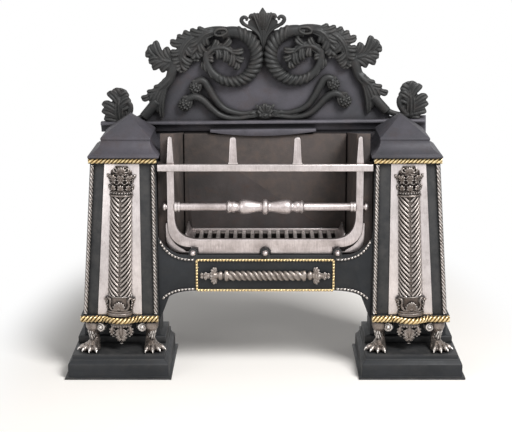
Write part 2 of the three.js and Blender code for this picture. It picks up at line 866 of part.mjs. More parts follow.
function panelFrame() {
  const corner = (x, z) => new THREE.Vector3(x, apronY, z);
  const w = panelHalf;
  const sides = [
    [corner(-w, panelBottom), corner(w, panelBottom)],
    [corner(-w, panelTop), corner(w, panelTop)],
    [corner(-w, panelBottom), corner(-w, panelTop)],
    [corner(w, panelBottom), corner(w, panelTop)],
  ];
  return join(...sides.map(([from, to]) => beadRow(new THREE.LineCurve3(from, to), 3)));
}

// The staff on the apron: a twisted rod with a ring, a bead, a leaf crown and a leaf tip at each end.
function staffGeometry() {
  const z = (panelBottom + panelTop) / 2;
  const out = new THREE.Vector3(0, -1, 0);
  const r = staff.radius;
  const flatness = 0.55;
  const lineY = apronY - flatness * r - seat;
  const twistEnd = 0.56 * panelHalf;
  const crownAt = 0.75 * panelHalf;
  const tipAt = 0.93 * panelHalf;
  const reach = (tipAt - crownAt) / 2.5;
  const point = (x) => new THREE.Vector3(x, lineY, z);
  const twist = strand(new THREE.LineCurve3(point(-twistEnd), point(twistEnd)), out, r, {
    pitch: staff.pitch,
    slant: -0.8,
    valley: 0.78,
    sides: 5,
    flatness,
    lift: false,
  });
  const pieces = [twist];
  for (const side of [-1, 1]) {
    const line = new THREE.LineCurve3(point(side * (twistEnd - 1)), point(side * (crownAt + 8)));
    const turned = [0.77, 0.96, 0.85, 0.54, 0.85, 0.85, 0.54, 0.7].map((share) => share * r);
    pieces.push(rod(line, turned, 7, 5, flatness));
    const foot = side * (crownAt - 6);
    const crown = [
      [foot, z - r / 2],
      [foot, z + r / 2],
    ];
    for (const turn of [1, 0.5, 0, -0.5, -1]) {
      const x = side * (crownAt + reach * (1 - Math.abs(turn)));
      crown.push([x, z + turn * staff.crownHalf]);
      if (turn > -1) crown.push([side * (crownAt + 1), z + (turn - 0.25) * staff.crownHalf]);
    }
    if (side < 0) crown.reverse();
    const thick = flatness * r;
    pieces.push(plate(outline(crown), apronY - thick - seat, thick));
    const spine = spline([side * (crownAt + 2), z], [side * tipAt, z]);
    pieces.push(leaf(spine, staff.leafWidth, 3, apronY - thick, thick - seat));
  }
  return join(...pieces);
}

// ---------- fire basket ----------
// The steel front: a bar bent to a U whose ends rise to points, drilled for the middle bar.
function basketFrameGeometry() {
  const b = basket;
  const half = basketHalf;
  const inner = half - b.bar;
  const low = basketBottom;
  const upper = low + b.bottomBar;
  const middle = half - b.bar / 2;
  const flat = half - b.outerCorner;
  const skirtHalf = flat - 0.7 * b.bar;
  const point = tipHeight - b.tipWidth / 3;
  const shape = mirroredShape([
    [skirtHalf, low - b.skirt],
    [skirtHalf, low],
    [half, low, half, low + b.outerCorner],
    [half, topBarTop],
    [middle + b.tipWidth / 2, point],
    [middle, tipHeight],
    [middle - b.tipWidth / 2, point],
    [inner, topBarTop],
    [inner, upper + b.innerCorner],
    [inner, upper, inner - b.innerCorner, upper],
  ]);
  const frame = plate(shape, basketY, b.thickness, 7);
  const boreRadius = middleBar.tenonRadius + seat;
  const bore = new THREE.CylinderGeometry(boreRadius, boreRadius, 2 * half + 20, 12);
  bore.rotateZ(Math.PI / 2).translate(0, basketY + b.thickness / 2, middleBarHeight);
  const notches = nutPlaces.map((x) =>
    plate(tongue(x, nut.notchRadius, low - 2 * b.skirt), basketY - 5, b.thickness + 10, 5),
  );
  return cut(frame, bore, ...notches);
}

function topBarGeometry() {
  const half = pylonInner - topBar.endGap;
  const y1 = basketY - seat;
  const y0 = y1 - topBar.thickness;
  return box(-half, half, y0, y1, topBarBottom, topBarTop);
}

function spikeGeometry() {
  const z = topBarTop + seat;
  const wide = spike.baseWidth / 2;
  const thin = spike.tipWidth / 2;
  const foot = wide + spike.collarLip;
  const point = tipHeight - thin / 2;
  const shape = outline([
    [-foot, z],
    [foot, z],
    [foot, z + spike.collar],
    [wide, z + spike.collar],
    [thin, point],
    [0, tipHeight],
    [-thin, point],
    [-wide, z + spike.collar],
    [-foot, z + spike.collar],
  ]);
  return plate(shape, basketY - seat - topBar.thickness + 1, spike.thickness);
}

// The turned bar: a centre disc between two vases, a knob on each side, and plain rod ends whose
// tenons pass through the uprights. Places are shares of the way to the upright.
function middleBarGeometry() {
  const inner = basketHalf - basket.bar;
  const m = middleBar;
  const turned = [
    [0, 1],
    [0.032, 0.92],
    [0.05, 0.55],
    [0.074, 0.58],
    [0.12, 0.72],
    [0.176, 0.87],
    [0.22, 0.9],
    [0.26, 0.81],
    [0.288, 0.55],
    [0.315, 0.52],
    [0.36, 0.81],
    [0.39, 0.69],
    [0.4, 0.81],
    [0.422, 0.81],
  ].map(([share, size]) => [share * inner, size * m.radius]);
  const collarAt = 0.945 * inner;
  const half = [
    ...turned,
    [0.44 * inner, m.rodRadius],
    [collarAt, m.rodRadius],
    [collarAt, m.collarRadius],
    [inner - seat, m.collarRadius],
    [inner - seat, m.tenonRadius],
    [basketHalf, m.tenonRadius],
    [basketHalf, 0],
  ];
  const left = half.map(([x, r]) => new THREE.Vector2(r, -x)).reverse();
  const right = half.slice(1).map(([x, r]) => new THREE.Vector2(r, x));
  const bar = new THREE.LatheGeometry([...left, ...right], 8);
  return bar.rotateZ(-Math.PI / 2).translate(0, basketY + basket.thickness / 2, middleBarHeight);
}

// A turned knob from points of radius and length along its axis.
function turnedKnob(profile, segments) {
  return new THREE.LatheGeometry(
    profile.map(([x, y]) => new THREE.Vector2(x, y)),
    segments,
  );
}

function endKnobGeometry() {
  const r = endKnob.radius;
  const l = endKnob.length;
  const profile = [
    [0, 0],
    [r * 0.7, 0],
    [r, l * 0.3],
    [r, l * 0.6],
    [r * 0.6, l * 0.95],
    [0, l],
  ];
  const knob = turnedKnob(profile, 12).rotateZ(-Math.PI / 2);
  return knob.translate(basketHalf + seat, basketY + basket.thickness / 2, middleBarHeight);
}

function nutGeometry() {
  const r = nut.radius;
  const l = nut.length;
  const profile = [
    [0, 0],
    [r, 0],
    [r, l * 0.45],
    [r * 0.8, l * 0.8],
    [0, l],
  ];
  return turnedKnob(profile, 10).rotateX(Math.PI).translate(0, apronY - seat, nutHeight);
}

// The plate behind the foot of the U: a band across, and a horn at each end that rises outside
// the U's corner and leaves a crescent gap to it.
function mountPlateGeometry() {
  const m = mountPlate;
  const bottom = apron.topHeight + seat;
  const outer = basketHalf + m.hornWidth * 0.7;
  const tipInner = outer - m.hornWidth * 0.55;
  const shoulder = basketHalf - basket.outerCorner + 8;
  const crescent = basketBottom - m.gap;
  const tip = basketBottom + m.hornRise;
  const shape = mirroredShape([
    [shoulder + 20, bottom],
    [outer, bottom + 2, outer, basketBottom + 0.43 * m.hornRise],
    [outer, tip],
    [tipInner, tip],
    [basketHalf + 1, crescent + 2, shoulder, crescent],
    [shoulder - 4, bottom + m.band],
  ]);
  return plate(shape, mountPlateY, m.thickness, 7);
}

// The loose bottom grate: deep bars from front to back, a rail at each end and upturned sides.
function grateGeometry() {
  const y0 = liningY + grate.frontGap;
  const y1 = firebackY - grate.backGap;
  const half = pylonInner - cheek.backInset - grate.sideClearance;
  const pitch = (2 * half) / (grate.bars - 1);
  const w = grate.barWidth / 2;
  const parts = [];
  for (let i = 0; i < grate.bars; i++) {
    const x = -half + i * pitch;
    parts.push(box(x - w, x + w, y0, y1, grateBottom, grateTop));
  }
  for (const y of [y0, y1 - grate.rail]) {
    parts.push(box(-half - w, half + w, y, y + grate.rail, grateBottom, grateTop));
  }
  const lift = grateTop + grate.sideRise;
  for (const side of [-1, 1]) {
    const x = side * half;
    const points = [
      [x - side * w, grateTop - w],
      [x + side * 1.8 * w, grateTop],
      [x + side * 3.1 * w, lift],
      [x + side * 2.2 * w, lift],
      [x + side * 0.9 * w, grateTop + w],
      [x - side * w, grateTop - w / 2],
    ];
    if (side < 0) points.reverse();
    parts.push(plate(outline(points), y0, y1 - y0));
  }
  return join(...parts);
}

// ---------- back ----------
function cheekInner(y) {
  const at = (y - liningY) / (firebackY - liningY);
  return pylonInner - THREE.MathUtils.lerp(cheek.frontInset, cheek.backInset, at);
}

// A side lining: a flange behind the basket's upright and a wall splayed to the fireback.
function cheekGeometry() {
  const y0 = liningY;
  const y1 = backPlateY - seat;
  const t = cheek.thickness;
  const outer = pylonInner - seat;
  const shape = outline([
    [cheekInner(y0), y0],
    [outer, y0],
    [outer, y0 + t],
    [cheekInner(y0) + t, y0 + t],
    [cheekInner(y1) + t, y1],
    [cheekInner(y1), y1],
  ]);
  const wall = prism(shape, grateBottom, liningTop - grateBottom);
  const capInner = pylonInner + pylon.innerDrift - cap.innerOverhang - 2 * seat;
  const clearance = box(capInner, outer + 10, y0 - 5, y1 + 5, pylonTop - 2 * seat, liningTop + 5);
  return cut(wall, clearance);
}

function firebackGeometry() {
  const f = fireback;
  const half = cheekInner(backPlateY) - 2 * seat;
  const ledgeHalf = half - f.ledgeInset;
  const panel = box(-half, half, firebackY, backPlateY - seat, f.bottom, liningTop);
  const ledge = box(-ledgeHalf, ledgeHalf, firebackY - f.ledge, firebackY + 1, f.bottom, apron.topHeight);
  return join(panel, ledge);
}

// The iron back: a broad plate behind the pylons that rises through the cornice to the crest.
function backPlateGeometry() {
  const b = backPlate;
  const half = crestHalf - b.endInset;
  const top = scrollZ + scrollRadius;
  const dip = crestZ(0.714);
  const shape = mirroredShape([
    [half, b.bottom],
    [half, corniceTop],
    [crestX(0.645), corniceTop],
    [crestX(0.515), crestZ(0.4)],
    [crestX(0.495), crestZ(0.7), crestX(0.295), top],
    [crestX(0.15), top + scrollTube / 2, crestX(0.085), dip],
  ]);
  return plate(shape, backPlateY, b.thickness, 8);
}

// The moulded shelf across the back, with a bowed lip that throws smoke back over the fire.
function corniceGeometry() {
  const c = cornice;
  const depth = c.projection;
  const nose = 0.3 * c.height;
  const profile = new THREE.Shape();
  profile.moveTo(0, corniceBottom);
  profile.lineTo(depth * 0.35, corniceBottom);
  profile.quadraticCurveTo(depth * 0.45, corniceTop - nose, depth, corniceTop - nose);
  profile.quadraticCurveTo(depth * 1.07, corniceTop - 1, depth * 0.76, corniceTop);
  profile.lineTo(0, corniceTop);
  const bar = new THREE.ExtrudeGeometry(profile, {
    depth: 2 * crestHalf,
    bevelEnabled: false,
    curveSegments: 6,
  });
  // The profile's first axis is turned to face the front and its extrusion to run along X.
  const toFront = new THREE.Matrix4().makeBasis(
    new THREE.Vector3(0, -1, 0),
    new THREE.Vector3(0, 0, 1),
    new THREE.Vector3(-1, 0, 0),
  );
  bar.applyMatrix4(toFront).translate(crestHalf, backPlateY - seat, 0);
  const lipHalf = crestX(0.325);
  const lipTop = corniceBottom + 6;
  const lip = new THREE.Shape();
  lip.moveTo(-lipHalf, lipTop);
  lip.lineTo(-lipHalf, corniceBottom);
  lip.quadraticCurveTo(0, corniceBottom - c.lipDrop, lipHalf, corniceBottom);
  lip.lineTo(lipHalf, lipTop);
  const y = firebackY - seat - c.lipThickness;
  const lipPlate = plate(lip, y, c.lipThickness, 10);
  const web = box(-lipHalf, lipHalf, y, backPlateY - depth / 4, corniceBottom + 1, lipTop);
  return join(bar, lipPlate, web);
}

// ---------- crest ornament, drawn for the right side and mirrored for the left ----------
// Its points are shares of the crest's half width and of its height above the cornice.
const reliefBack = backPlateY - seat;
const reliefMiddle = reliefBack - crest.relief / 2;
const leafDepth = 0.86 * crest.relief;

function crestSpline(...points) {
  return spline(...points.map(([x, z]) => [crestX(x), crestZ(z), reliefMiddle]));
}

function crestLeaf(points, width, lobes) {
  const thin = 0.3;
  return leaf(crestSpline(...points), crestX(width), lobes, reliefBack - leafDepth, leafDepth, thin);
}

function scrollGeometry() {
  const rings = [];
  const steps = 2 * scroll.ribs;
  const tail = 0.6 * scrollTube;
  const flatness = crest.relief / 2 / scrollTube;
  for (let step = 0; step <= steps; step++) {
    const at = step / steps;
    const angle = THREE.MathUtils.degToRad(62 + 290 * at);
    const thick = THREE.MathUtils.lerp(scrollTube, tail, at ** 2);
    const tube = thick * (step % 2 ? 1 : 0.86);
    const reach = scrollRadius + scrollTube - thick;
    const ring = [];
    for (let side = 0; side < 6; side++) {
      const turn = (2 * Math.PI * side) / 6;
      const from = reach + tube * Math.cos(turn);
      ring.push(
        new THREE.Vector3(
          scrollX + from * Math.cos(angle),
          reliefMiddle - flatness * tube * Math.sin(turn),
          scrollZ + from * Math.sin(angle),
        ),
      );
    }
    rings.push(ring);
  }
  const around = (x, z) => [scrollX + x * scrollRadius, scrollZ + z * scrollRadius];
  const curl = spline(
    around(1.13, -0.25),
    around(0.95, 0.4),
    around(0.22, 0.55),
    around(-0.44, 0.15),
    around(-0.25, -0.22),
  );
  const depth = 0.76 * crest.relief;
  const rosette = leaf(curl, 0.62 * scrollRadius, 7, reliefBack - depth, depth, 0.35);
  return join(loft(rings), rosette);
}

// Room for the scrolls, taken out of what grows around them.
function scrollRoom() {
  const radius = scrollRadius + scrollTube + 2 * seat;
  return [-scrollX, scrollX].map((x) => {
    const drum = new THREE.CylinderGeometry(radius, radius, 3 * crest.relief, 24);
    return drum.translate(x, reliefMiddle, scrollZ);
  });
}

// The arm outside the scroll: a leafy arch that drops to a plain rod and ends in a standing leaf.
function leafArmGeometry(side) {
  const stem = crestSpline(
    [0.325, 0.765],
    [0.412, 0.743],
    [0.515, 0.643],
    [0.555, 0.486],
    [0.607, 0.357],
    [0.695, 0.236],
    [0.78, 0.15],
    [0.87, 0.107],
  );
  const thickness = [0.33, 0.62, 0.67, 0.48, 0.43, 0.52, 0.57, 0.57].map((t) => t * crest.relief);
  const parts = [
    rod(stem, thickness, 16, 6, 0.8),
    crestLeaf([[0.305, 0.771], [0.375, 0.821], [0.49, 0.743], [0.58, 0.6]], 0.125, 5),
    crestLeaf([[0.45, 0.657], [0.53, 0.6], [0.58, 0.486], [0.595, 0.386]], 0.085, 4),
    crestLeaf([[0.535, 0.493], [0.595, 0.571], [0.655, 0.707], [0.71, 0.629]], 0.085, 4),
    crestLeaf([[0.59, 0.386], [0.655, 0.343], [0.71, 0.293], [0.755, 0.236]], 0.075, 3),
    crestLeaf([[0.59, 0.357], [0.615, 0.279], [0.635, 0.179], [0.64, 0.107]], 0.065, 3),
    crestLeaf([[0.85, -0.08], [0.905, 0.079], [0.925, 0.207], [0.875, 0.329]], 0.125, 6),
  ];
  // The foot of the end leaf is cut to the top of the cornice, which leans less than the crest.
  const below = box(0, crestHalf * 1.2, reliefBack - 2 * crest.relief, backY, -crest.height, 2 * seat);
  below.rotateY(side * THREE.MathUtils.degToRad(crest.tilt - cornice.tilt));
  return cut(join(...parts), below.translate(0, 0, corniceTop), ...scrollRoom());
}

// The fan at the top: a stem between the scrolls that parts into ribs with rolled tips.
function anthemionGeometry() {
  const h = crest.height;
  const fork = crestZ(0.69);
  const top = crestZ(1) - fork;
  const stemHalf = scroll.gap * 0.6;
  const ribs = [[[0, -0.07], [0, 0.35], [0, 0.72], [0, 0.91]]];
  for (const side of [-1, 1]) {
    ribs.push([[side * 0.004, -0.05], [side * 0.014, 0.25], [side * 0.054, 0.54], [side * 0.079, 0.72]]);
    ribs.push([
      [side * 0.004, -0.05],
      [side * 0.032, 0.16],
      [side * 0.114, 0.47],
      [side * 0.161, 0.6],
      [side * 0.186, 0.49],
    ]);
  }
  const thickness = [0.12, 0.14, 0.21, 0.33, 0.4, 0.29].map((t) => t * crest.relief);
  const parts = ribs.map((points) => {
    const places = points.map(([x, z]) => [x * h, fork + z * top, reliefMiddle]);
    return rod(spline(...places), thickness, 7, 5, 0.9);
  });
  const stemTop = fork + 0.08 * top;
  parts.push(box(-stemHalf, stemHalf, reliefMiddle - 7, reliefBack, scrollZ, stemTop));
  const budHalf = 0.16 * top;
  const bud = new THREE.SphereGeometry(budHalf, 6, 5).scale(0.5, 0.5, 1);
  parts.push(bud.translate(0, reliefMiddle, crestZ(1) - budHalf));
  return cut(join(...parts), ...scrollRoom());
}

// Two pairs of stems that spring from a middle flower and end in seed pods.
function festoonGeometry() {
  const parts = [];
  const r = 0.33 * crest.relief;
  const thickness = [0.7, 1, 1, 1, 1, 1.3].map((t) => t * r);
  for (const side of [-1, 1]) {
    const stems = [
      [[0.02, 0.071], [0.15, 0.064], [0.28, 0.114], [0.37, 0.2], [0.455, 0.229], [0.49, 0.164]],
      [[0.02, 0.093], [0.15, 0.104], [0.26, 0.179], [0.33, 0.329], [0.385, 0.396], [0.418, 0.343]],
    ];
    for (const stem of stems) {
      const curve = crestSpline(...stem.map(([x, z]) => [side * x, z]));
      parts.push(rod(curve, thickness, 9, 5, 1));
      const [x, z] = stem.at(-1);
      const pod = new THREE.SphereGeometry(r, 7, 5).scale(1.7, 1.35, 2);
      parts.push(pod.translate(side * crestX(x), reliefMiddle, crestZ(z)));
    }
  }
  const petals = [];
  for (let i = 0; i < 16; i++) {
    const angle = (2 * Math.PI * i) / 16;
    const radius = (i % 2 ? 0.64 : 0.86) * crest.relief;
    petals.push([1.15 * radius * Math.cos(angle), crestZ(0.082) + radius * Math.sin(angle)]);
  }
  const depth = 0.76 * crest.relief;
  parts.push(plate(outline(petals), reliefBack - depth, depth));
  return join(...parts);
}

// ---------- assembly ----------
const fireplace = new THREE.Group();
const rightSide = buildSide("right");
const leftSide = buildSide("left");
leftSide.scale.x = -1;
fireplace.add(rightSide, leftSide);

addPiece(fireplace, "apron_plate", apronGeometry(), blackIron);
addPiece(fireplace, "panel_frame", panelFrame(), gilt);
addPiece(fireplace, "staff_ornament", staffGeometry(), silvered);
addPiece(fireplace, "basket_frame", basketFrameGeometry(), steel);
addPiece(fireplace, "top_bar", topBarGeometry(), steel);
addPiece(fireplace, "middle_bar", middleBarGeometry(), steel);
addPiece(fireplace, "mount_plate", mountPlateGeometry(), steel);
addPiece(fireplace, "middle_nut", nutGeometry(), steel);
addPiece(fireplace, "bottom_grate", grateGeometry(), burntIron);
addPiece(fireplace, "fireback", firebackGeometry(), burntIron);
const shelf = addPiece(fireplace, "cornice", corniceGeometry(), greyIron);
shelf.rotation.y = THREE.MathUtils.degToRad(-cornice.tilt);

// The crest hangs a little out of level, about a pivot on the middle line of the cornice.
const crestGroup = new THREE.Group();
crestGroup.position.z = corniceTop;
crestGroup.rotation.y = THREE.MathUtils.degToRad(-crest.tilt);
fireplace.add(crestGroup);
const lowered = (geometry) => geometry.translate(0, 0, -corniceTop);
addPiece(crestGroup, "back_plate", lowered(backPlateGeometry()), greyIron);
addPiece(crestGroup, "crest_anthemion", lowered(anthemionGeometry()), greyIron);
addPiece(crestGroup, "crest_festoon", lowered(festoonGeometry()), greyIron);

for (const side of ["right", "left"]) {
  const half = new THREE.Group();
  const crestHalfGroup = new THREE.Group();
  if (side === "left") {
    half.scale.x = -1;
    crestHalfGroup.scale.x = -1;
  }
  fireplace.add(half);
  crestGroup.add(crestHalfGroup);
  addPiece(half, side + "_upper_beads", upperBeads(), silvered);
  addPiece(half, side + "_lower_beads", lowerBeads(), silvered);
  addPiece(half, side + "_spike", spikeGeometry(), steel).position.x = 0.325 * basketHalf;
  addPiece(half, side + "_end_knob", endKnobGeometry(), steel);
  addPiece(half, side + "_nut", nutGeometry(), steel).position.x = nutX;
  addPiece(half, side + "_cheek", cheekGeometry(), burntIron);
  addPiece(crestHalfGroup, side + "_crest_scroll", lowered(scrollGeometry()), greyIron);
  const arm = leafArmGeometry(side === "left" ? -1 : 1);
  addPiece(crestHalfGroup, side + "_crest_arm", lowered(arm), greyIron);
}

export default fireplace;
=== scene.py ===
import math

import bpy
from mathutils import Matrix, Vector


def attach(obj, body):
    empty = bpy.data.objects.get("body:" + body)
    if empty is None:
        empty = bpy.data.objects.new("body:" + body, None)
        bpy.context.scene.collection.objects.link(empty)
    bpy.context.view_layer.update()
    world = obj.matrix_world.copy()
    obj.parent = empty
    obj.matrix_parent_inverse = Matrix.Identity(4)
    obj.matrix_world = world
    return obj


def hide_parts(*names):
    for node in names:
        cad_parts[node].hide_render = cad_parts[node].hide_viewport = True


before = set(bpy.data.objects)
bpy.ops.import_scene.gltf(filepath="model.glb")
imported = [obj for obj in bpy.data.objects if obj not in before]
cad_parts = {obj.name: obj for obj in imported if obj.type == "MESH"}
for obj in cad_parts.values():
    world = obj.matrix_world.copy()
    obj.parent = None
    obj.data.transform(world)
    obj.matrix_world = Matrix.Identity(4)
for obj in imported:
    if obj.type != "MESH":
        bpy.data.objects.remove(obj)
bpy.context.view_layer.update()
print("frame loaded,", len(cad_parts), "nodes")

# ways of working
small = Matrix.Scale(0.001, 4)
mirrored = Matrix.Scale(-1, 4, (1, 0, 0))
upright = Matrix.Rotation(math.radians(90), 4, "X")


def move(x=0, y=0, z=0):
    return Matrix.Translation((x, y, z))


def turn(degrees, axis="Z"):
    return Matrix.Rotation(math.radians(degrees), 4, axis)


def stretch(x=1, y=1, z=1):
    return Matrix.Diagonal((x, y, z, 1))


def clearPick():
    if bpy.context.object and bpy.context.object.mode != "OBJECT":
        bpy.ops.object.mode_set(mode="OBJECT")
    bpy.ops.object.select_all(action="DESELECT")


def pick(*pieces):
    clearPick()
    for piece in pieces:
        piece.select_set(True)
    bpy.context.view_layer.objects.active = pieces[0]


def editAll(piece):  # edit mode with all of the piece picked
    pick(piece)
    bpy.ops.object.mode_set(mode="EDIT")
    bpy.ops.mesh.select_all(action="SELECT")


def editFaces(piece, wanted):  # edit mode with only the wanted faces picked
    editAll(piece)
    bpy.ops.mesh.select_mode(type="FACE")
    bpy.ops.mesh.select_all(action="DESELECT")
    bpy.ops.object.mode_set(mode="OBJECT")
    for face in piece.data.polygons:
        face.select = wanted(face, [piece.data.vertices[i].co for i in face.vertices])
    bpy.ops.object.mode_set(mode="EDIT")


def leaveEdit():
    bpy.ops.object.mode_set(mode="OBJECT")


def joined(name, pieces):
    pick(*pieces)
    if len(pieces) > 1:
        bpy.ops.object.join()
    piece = bpy.context.object
    piece.name = name
    return piece


def twin(piece, place=None):  # a copy with its own mesh
    other = piece.copy()
    other.data = piece.data.copy()
    bpy.context.collection.objects.link(other)
    if place:
        other.data.transform(place)
    return other


def discard(*pieces):
    for piece in pieces:
        bpy.data.objects.remove(piece)


def useModifier(piece, kind, **values):
    pick(piece)
    modifier = piece.modifiers.new(kind.lower(), kind)
    for key, value in values.items():
        setattr(modifier, key, value)
    bpy.ops.object.modifier_apply(modifier=modifier.name)


def softEdges(piece, width, segments=2, angle=28):
    useModifier(
        piece, "BEVEL", width=width, segments=segments, limit_method="ANGLE",
        angle_limit=math.radians(angle), miter_outer="MITER_ARC", use_clamp_overlap=True,
    )


def finishPiece(piece, name, place, finish, stands, body="frame", angle=42):
    piece.name = name
    piece.data.name = name
    piece.data.transform(place)
    editAll(piece)
    bpy.ops.mesh.remove_doubles(threshold=0.00001)
    bpy.ops.mesh.normals_make_consistent(inside=False)
    leaveEdit()
    bpy.ops.object.shade_smooth_by_angle(angle=math.radians(angle))
    piece.data.materials.clear()
    piece.data.materials.append(looks[finish])
    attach(piece, body)
    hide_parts(stands)


# the right piece and its mirror image, or for a leaning piece two halves that lean the same way
def finishBoth(piece, name, place, finish, stands, angle=42, leaning=False):
    other = twin(piece)
    flipped = place @ mirrored if leaning else mirrored @ place
    finishPiece(piece, "right_" + name, place, finish, "right_" + stands, angle=angle)
    finishPiece(other, "left_" + name, flipped, finish, "left_" + stands, angle=angle)


def pointOn(points, share):  # a smooth line through the points, share from 0 to 1
    points = [Vector(p).to_3d() for p in points]
    along = min(max(share, 0), 1) * (len(points) - 1)
    i = min(int(along), len(points) - 2)
    t = along - i
    p1, p2 = points[i], points[i + 1]
    p0 = points[i - 1] if i else p1 * 2 - p2
    p3 = points[i + 2] if i + 2 < len(points) else p2 * 2 - p1
    return (p1 * 2 + (p2 - p0) * t + (p0 * 2 - p1 * 5 + p2 * 4 - p3) * t**2 + (p1 * 3 - p0 - p2 * 3 + p3) * t**3) / 2


def headingOn(points, share):
    low, high = max(share - 0.02, 0), min(share + 0.02, 1)
    return (pointOn(points, high) - pointOn(points, low)).normalized()


# sections that are swept along lines
def drawSection(name, points):
    bpy.ops.curve.primitive_bezier_circle_add(radius=1, location=(0, 0, 0))
    section = bpy.context.object
    section.name = name
    section.data.splines.clear()
    line = section.data.splines.new("POLY")
    line.points.add(len(points) - 1)
    for point, (x, y) in zip(line.points, points):
        point.co = (x, y, 0, 1)
    line.use_cyclic_u = True
    return section


def circlePoints(sides, radiusAt=lambda angle: 1):
    angles = [2 * math.pi * i / sides for i in range(sides)]
    return [(radiusAt(a) * math.cos(a), radiusAt(a) * math.sin(a)) for a in angles]


def strandRadius(strands):  # the outline of some round strands laid together
    reach, thick = 0.46, 0.54

    def radiusAt(angle):
        step = 2 * math.pi / strands
        off = (angle + step / 2) % step - step / 2
        return reach * math.cos(off) + math.sqrt(thick**2 - (reach * math.sin(off)) ** 2)

    return radiusAt


clearPick()
roundSection = drawSection("roundSection", circlePoints(10))
fineSection = drawSection("fineSection", circlePoints(20))
ropeSection = drawSection("ropeSection", circlePoints(18, strandRadius(3)))
lobeSection = drawSection(
    "lobeSection",
    [(-1, -0.35), (-0.92, 0.16), (-0.62, 0.52), (-0.28, 0.54), (0, 0.26), (0.28, 0.54), (0.62, 0.52), (0.92, 0.16),
     (1, -0.35)],
)
flutedSection = drawSection(
    "flutedSection",
    [(-1, -0.3), (-1, 0.05), (-0.8, 0.34), (-0.6, 0.2), (-0.42, 0.5), (-0.22, 0.34), (0, 0.66), (0.22, 0.34),
     (0.42, 0.5), (0.6, 0.2), (0.8, 0.34), (1, 0.05), (1, -0.3)],
)
halfSection = drawSection(
    "halfSection", [(-math.cos(math.pi * i / 24), 0.8 * math.sin(math.pi * i / 24)) for i in range(25)]
)


def sweep(name, points, sizes, section, twists=0, steps=5, crisp=False, closed=False):
    bpy.ops.curve.primitive_bezier_curve_add(radius=1, location=(0, 0, 0))
    rail = bpy.context.object
    line = rail.data.splines[0]
    line.bezier_points.add(len(points) - 2)
    line.use_cyclic_u = closed
    if not hasattr(sizes, "__len__"):
        sizes = [sizes] * len(points)
    for i, (knot, point) in enumerate(zip(line.bezier_points, points)):
        knot.co = Vector(point).to_3d()
        knot.handle_left_type = knot.handle_right_type = "VECTOR" if crisp else "AUTO"
        knot.radius = sizes[i]
        knot.tilt = 2 * math.pi * twists * i / (len(points) - 1)
    rail.data.dimensions = "3D"
    rail.data.twist_mode = "Z_UP"
    rail.data.resolution_u = steps
    rail.data.bevel_mode = "OBJECT"
    rail.data.bevel_object = section
    rail.data.use_fill_caps = True
    pick(rail)
    bpy.ops.object.convert(target="MESH")
    rail.name = name
    return rail


def halfTurned(name, profile):  # a half round standing against a flat face, from (height, radius) points
    return sweep(name, [(0, y, 0) for y, r in profile], [r for y, r in profile], halfSection, steps=1, crisp=True)


def turned(name, profile, steps=28):  # a full turning about the x axis, from (x, radius) points
    clearPick()
    bpy.ops.mesh.primitive_plane_add(size=1, location=(0, 0, 0))
    piece = bpy.context.object
    piece.name = name
    editAll(piece)
    bpy.ops.mesh.select_mode(type="VERT")
    bpy.ops.mesh.select_all(action="SELECT")
    bpy.ops.mesh.merge(type="CENTER")
    bpy.ops.transform.translate(value=(profile[0][0], 0, profile[0][1]))
    for (x0, r0), (x1, r1) in zip(profile, profile[1:]):
        bpy.ops.mesh.extrude_region_move(TRANSFORM_OT_translate={"value": (x1 - x0, 0, r1 - r0)})
    bpy.ops.mesh.select_all(action="SELECT")
    bpy.ops.mesh.spin(steps=steps, angle=2 * math.pi, center=(0, 0, 0), axis=(1, 0, 0))
    bpy.ops.mesh.select_all(action="SELECT")
    bpy.ops.mesh.remove_doubles(threshold=0.001)
    leaveEdit()
    return piece


def rounded(profile, steps=4):  # more points along a turned profile
    count = steps * (len(profile) - 1)
    line = [pointOn([(x, r, 0) for x, r in profile], i / count) for i in range(count + 1)]
    return [(p.x, max(p.y, 0)) for p in line]


def flatPiece(name, loops, thickness, soft):  # a cast plate from closed outlines, its back at z = 0
    bpy.ops.curve.primitive_bezier_curve_add(radius=1, location=(0, 0, 0))
    rail = bpy.context.object
    rail.data.dimensions = "2D"
    rail.data.splines.clear()
    for loop in loops:
        line = rail.data.splines.new("POLY")
        line.points.add(len(loop) - 1)
        for point, (x, y) in zip(line.points, loop):
            point.co = (x, y, 0, 1)
        line.use_cyclic_u = True
    rail.data.fill_mode = "BOTH"
    rail.data.extrude = thickness / 2 - soft
    rail.data.bevel_depth = soft
    rail.data.bevel_resolution = 1
    rail.data.offset = -soft
    pick(rail)
    bpy.ops.object.convert(target="MESH")
    rail.name = name
    rail.data.transform(move(z=thickness / 2))
    return rail


def bendLine(start, middle, end, count):  # points on a smooth bend
    shares = [i / count for i in range(count + 1)]
    weights = [((1 - t) ** 2, 2 * t * (1 - t), t * t) for t in shares]
    return [tuple(u * a + v * b + w * c for a, b, c in zip(start, middle, end)) for u, v, w in weights]


def bothHalves(steps, bends=10):  # right half of an outline from points and bends, then the left half
    right = [steps[0]]
    for step in steps[1:]:
        right += [step] if len(step) == 2 else bendLine(right[-1], step[:2], step[2:], bends)[1:]
    return right + [(-x, y) for x, y in reversed(right) if abs(x) > 0.01]


def wrapRound(piece, radiusAt, depth=0.8):  # lays a flat drawing round a half round form
    for point in piece.data.vertices:
        radius = radiusAt(point.co.y)
        angle = point.co.x / radius
        reach = radius + point.co.z
        point.co = (reach * math.sin(angle), point.co.y, depth * reach * math.cos(angle))
    return piece


def cutLevel(piece, height, keepAbove):
    editAll(piece)
    bpy.ops.mesh.bisect(
        plane_co=(0, height, 0), plane_no=(0, 1, 0), use_fill=True, clear_inner=keepAbove, clear_outer=not keepAbove
    )
    leaveEdit()


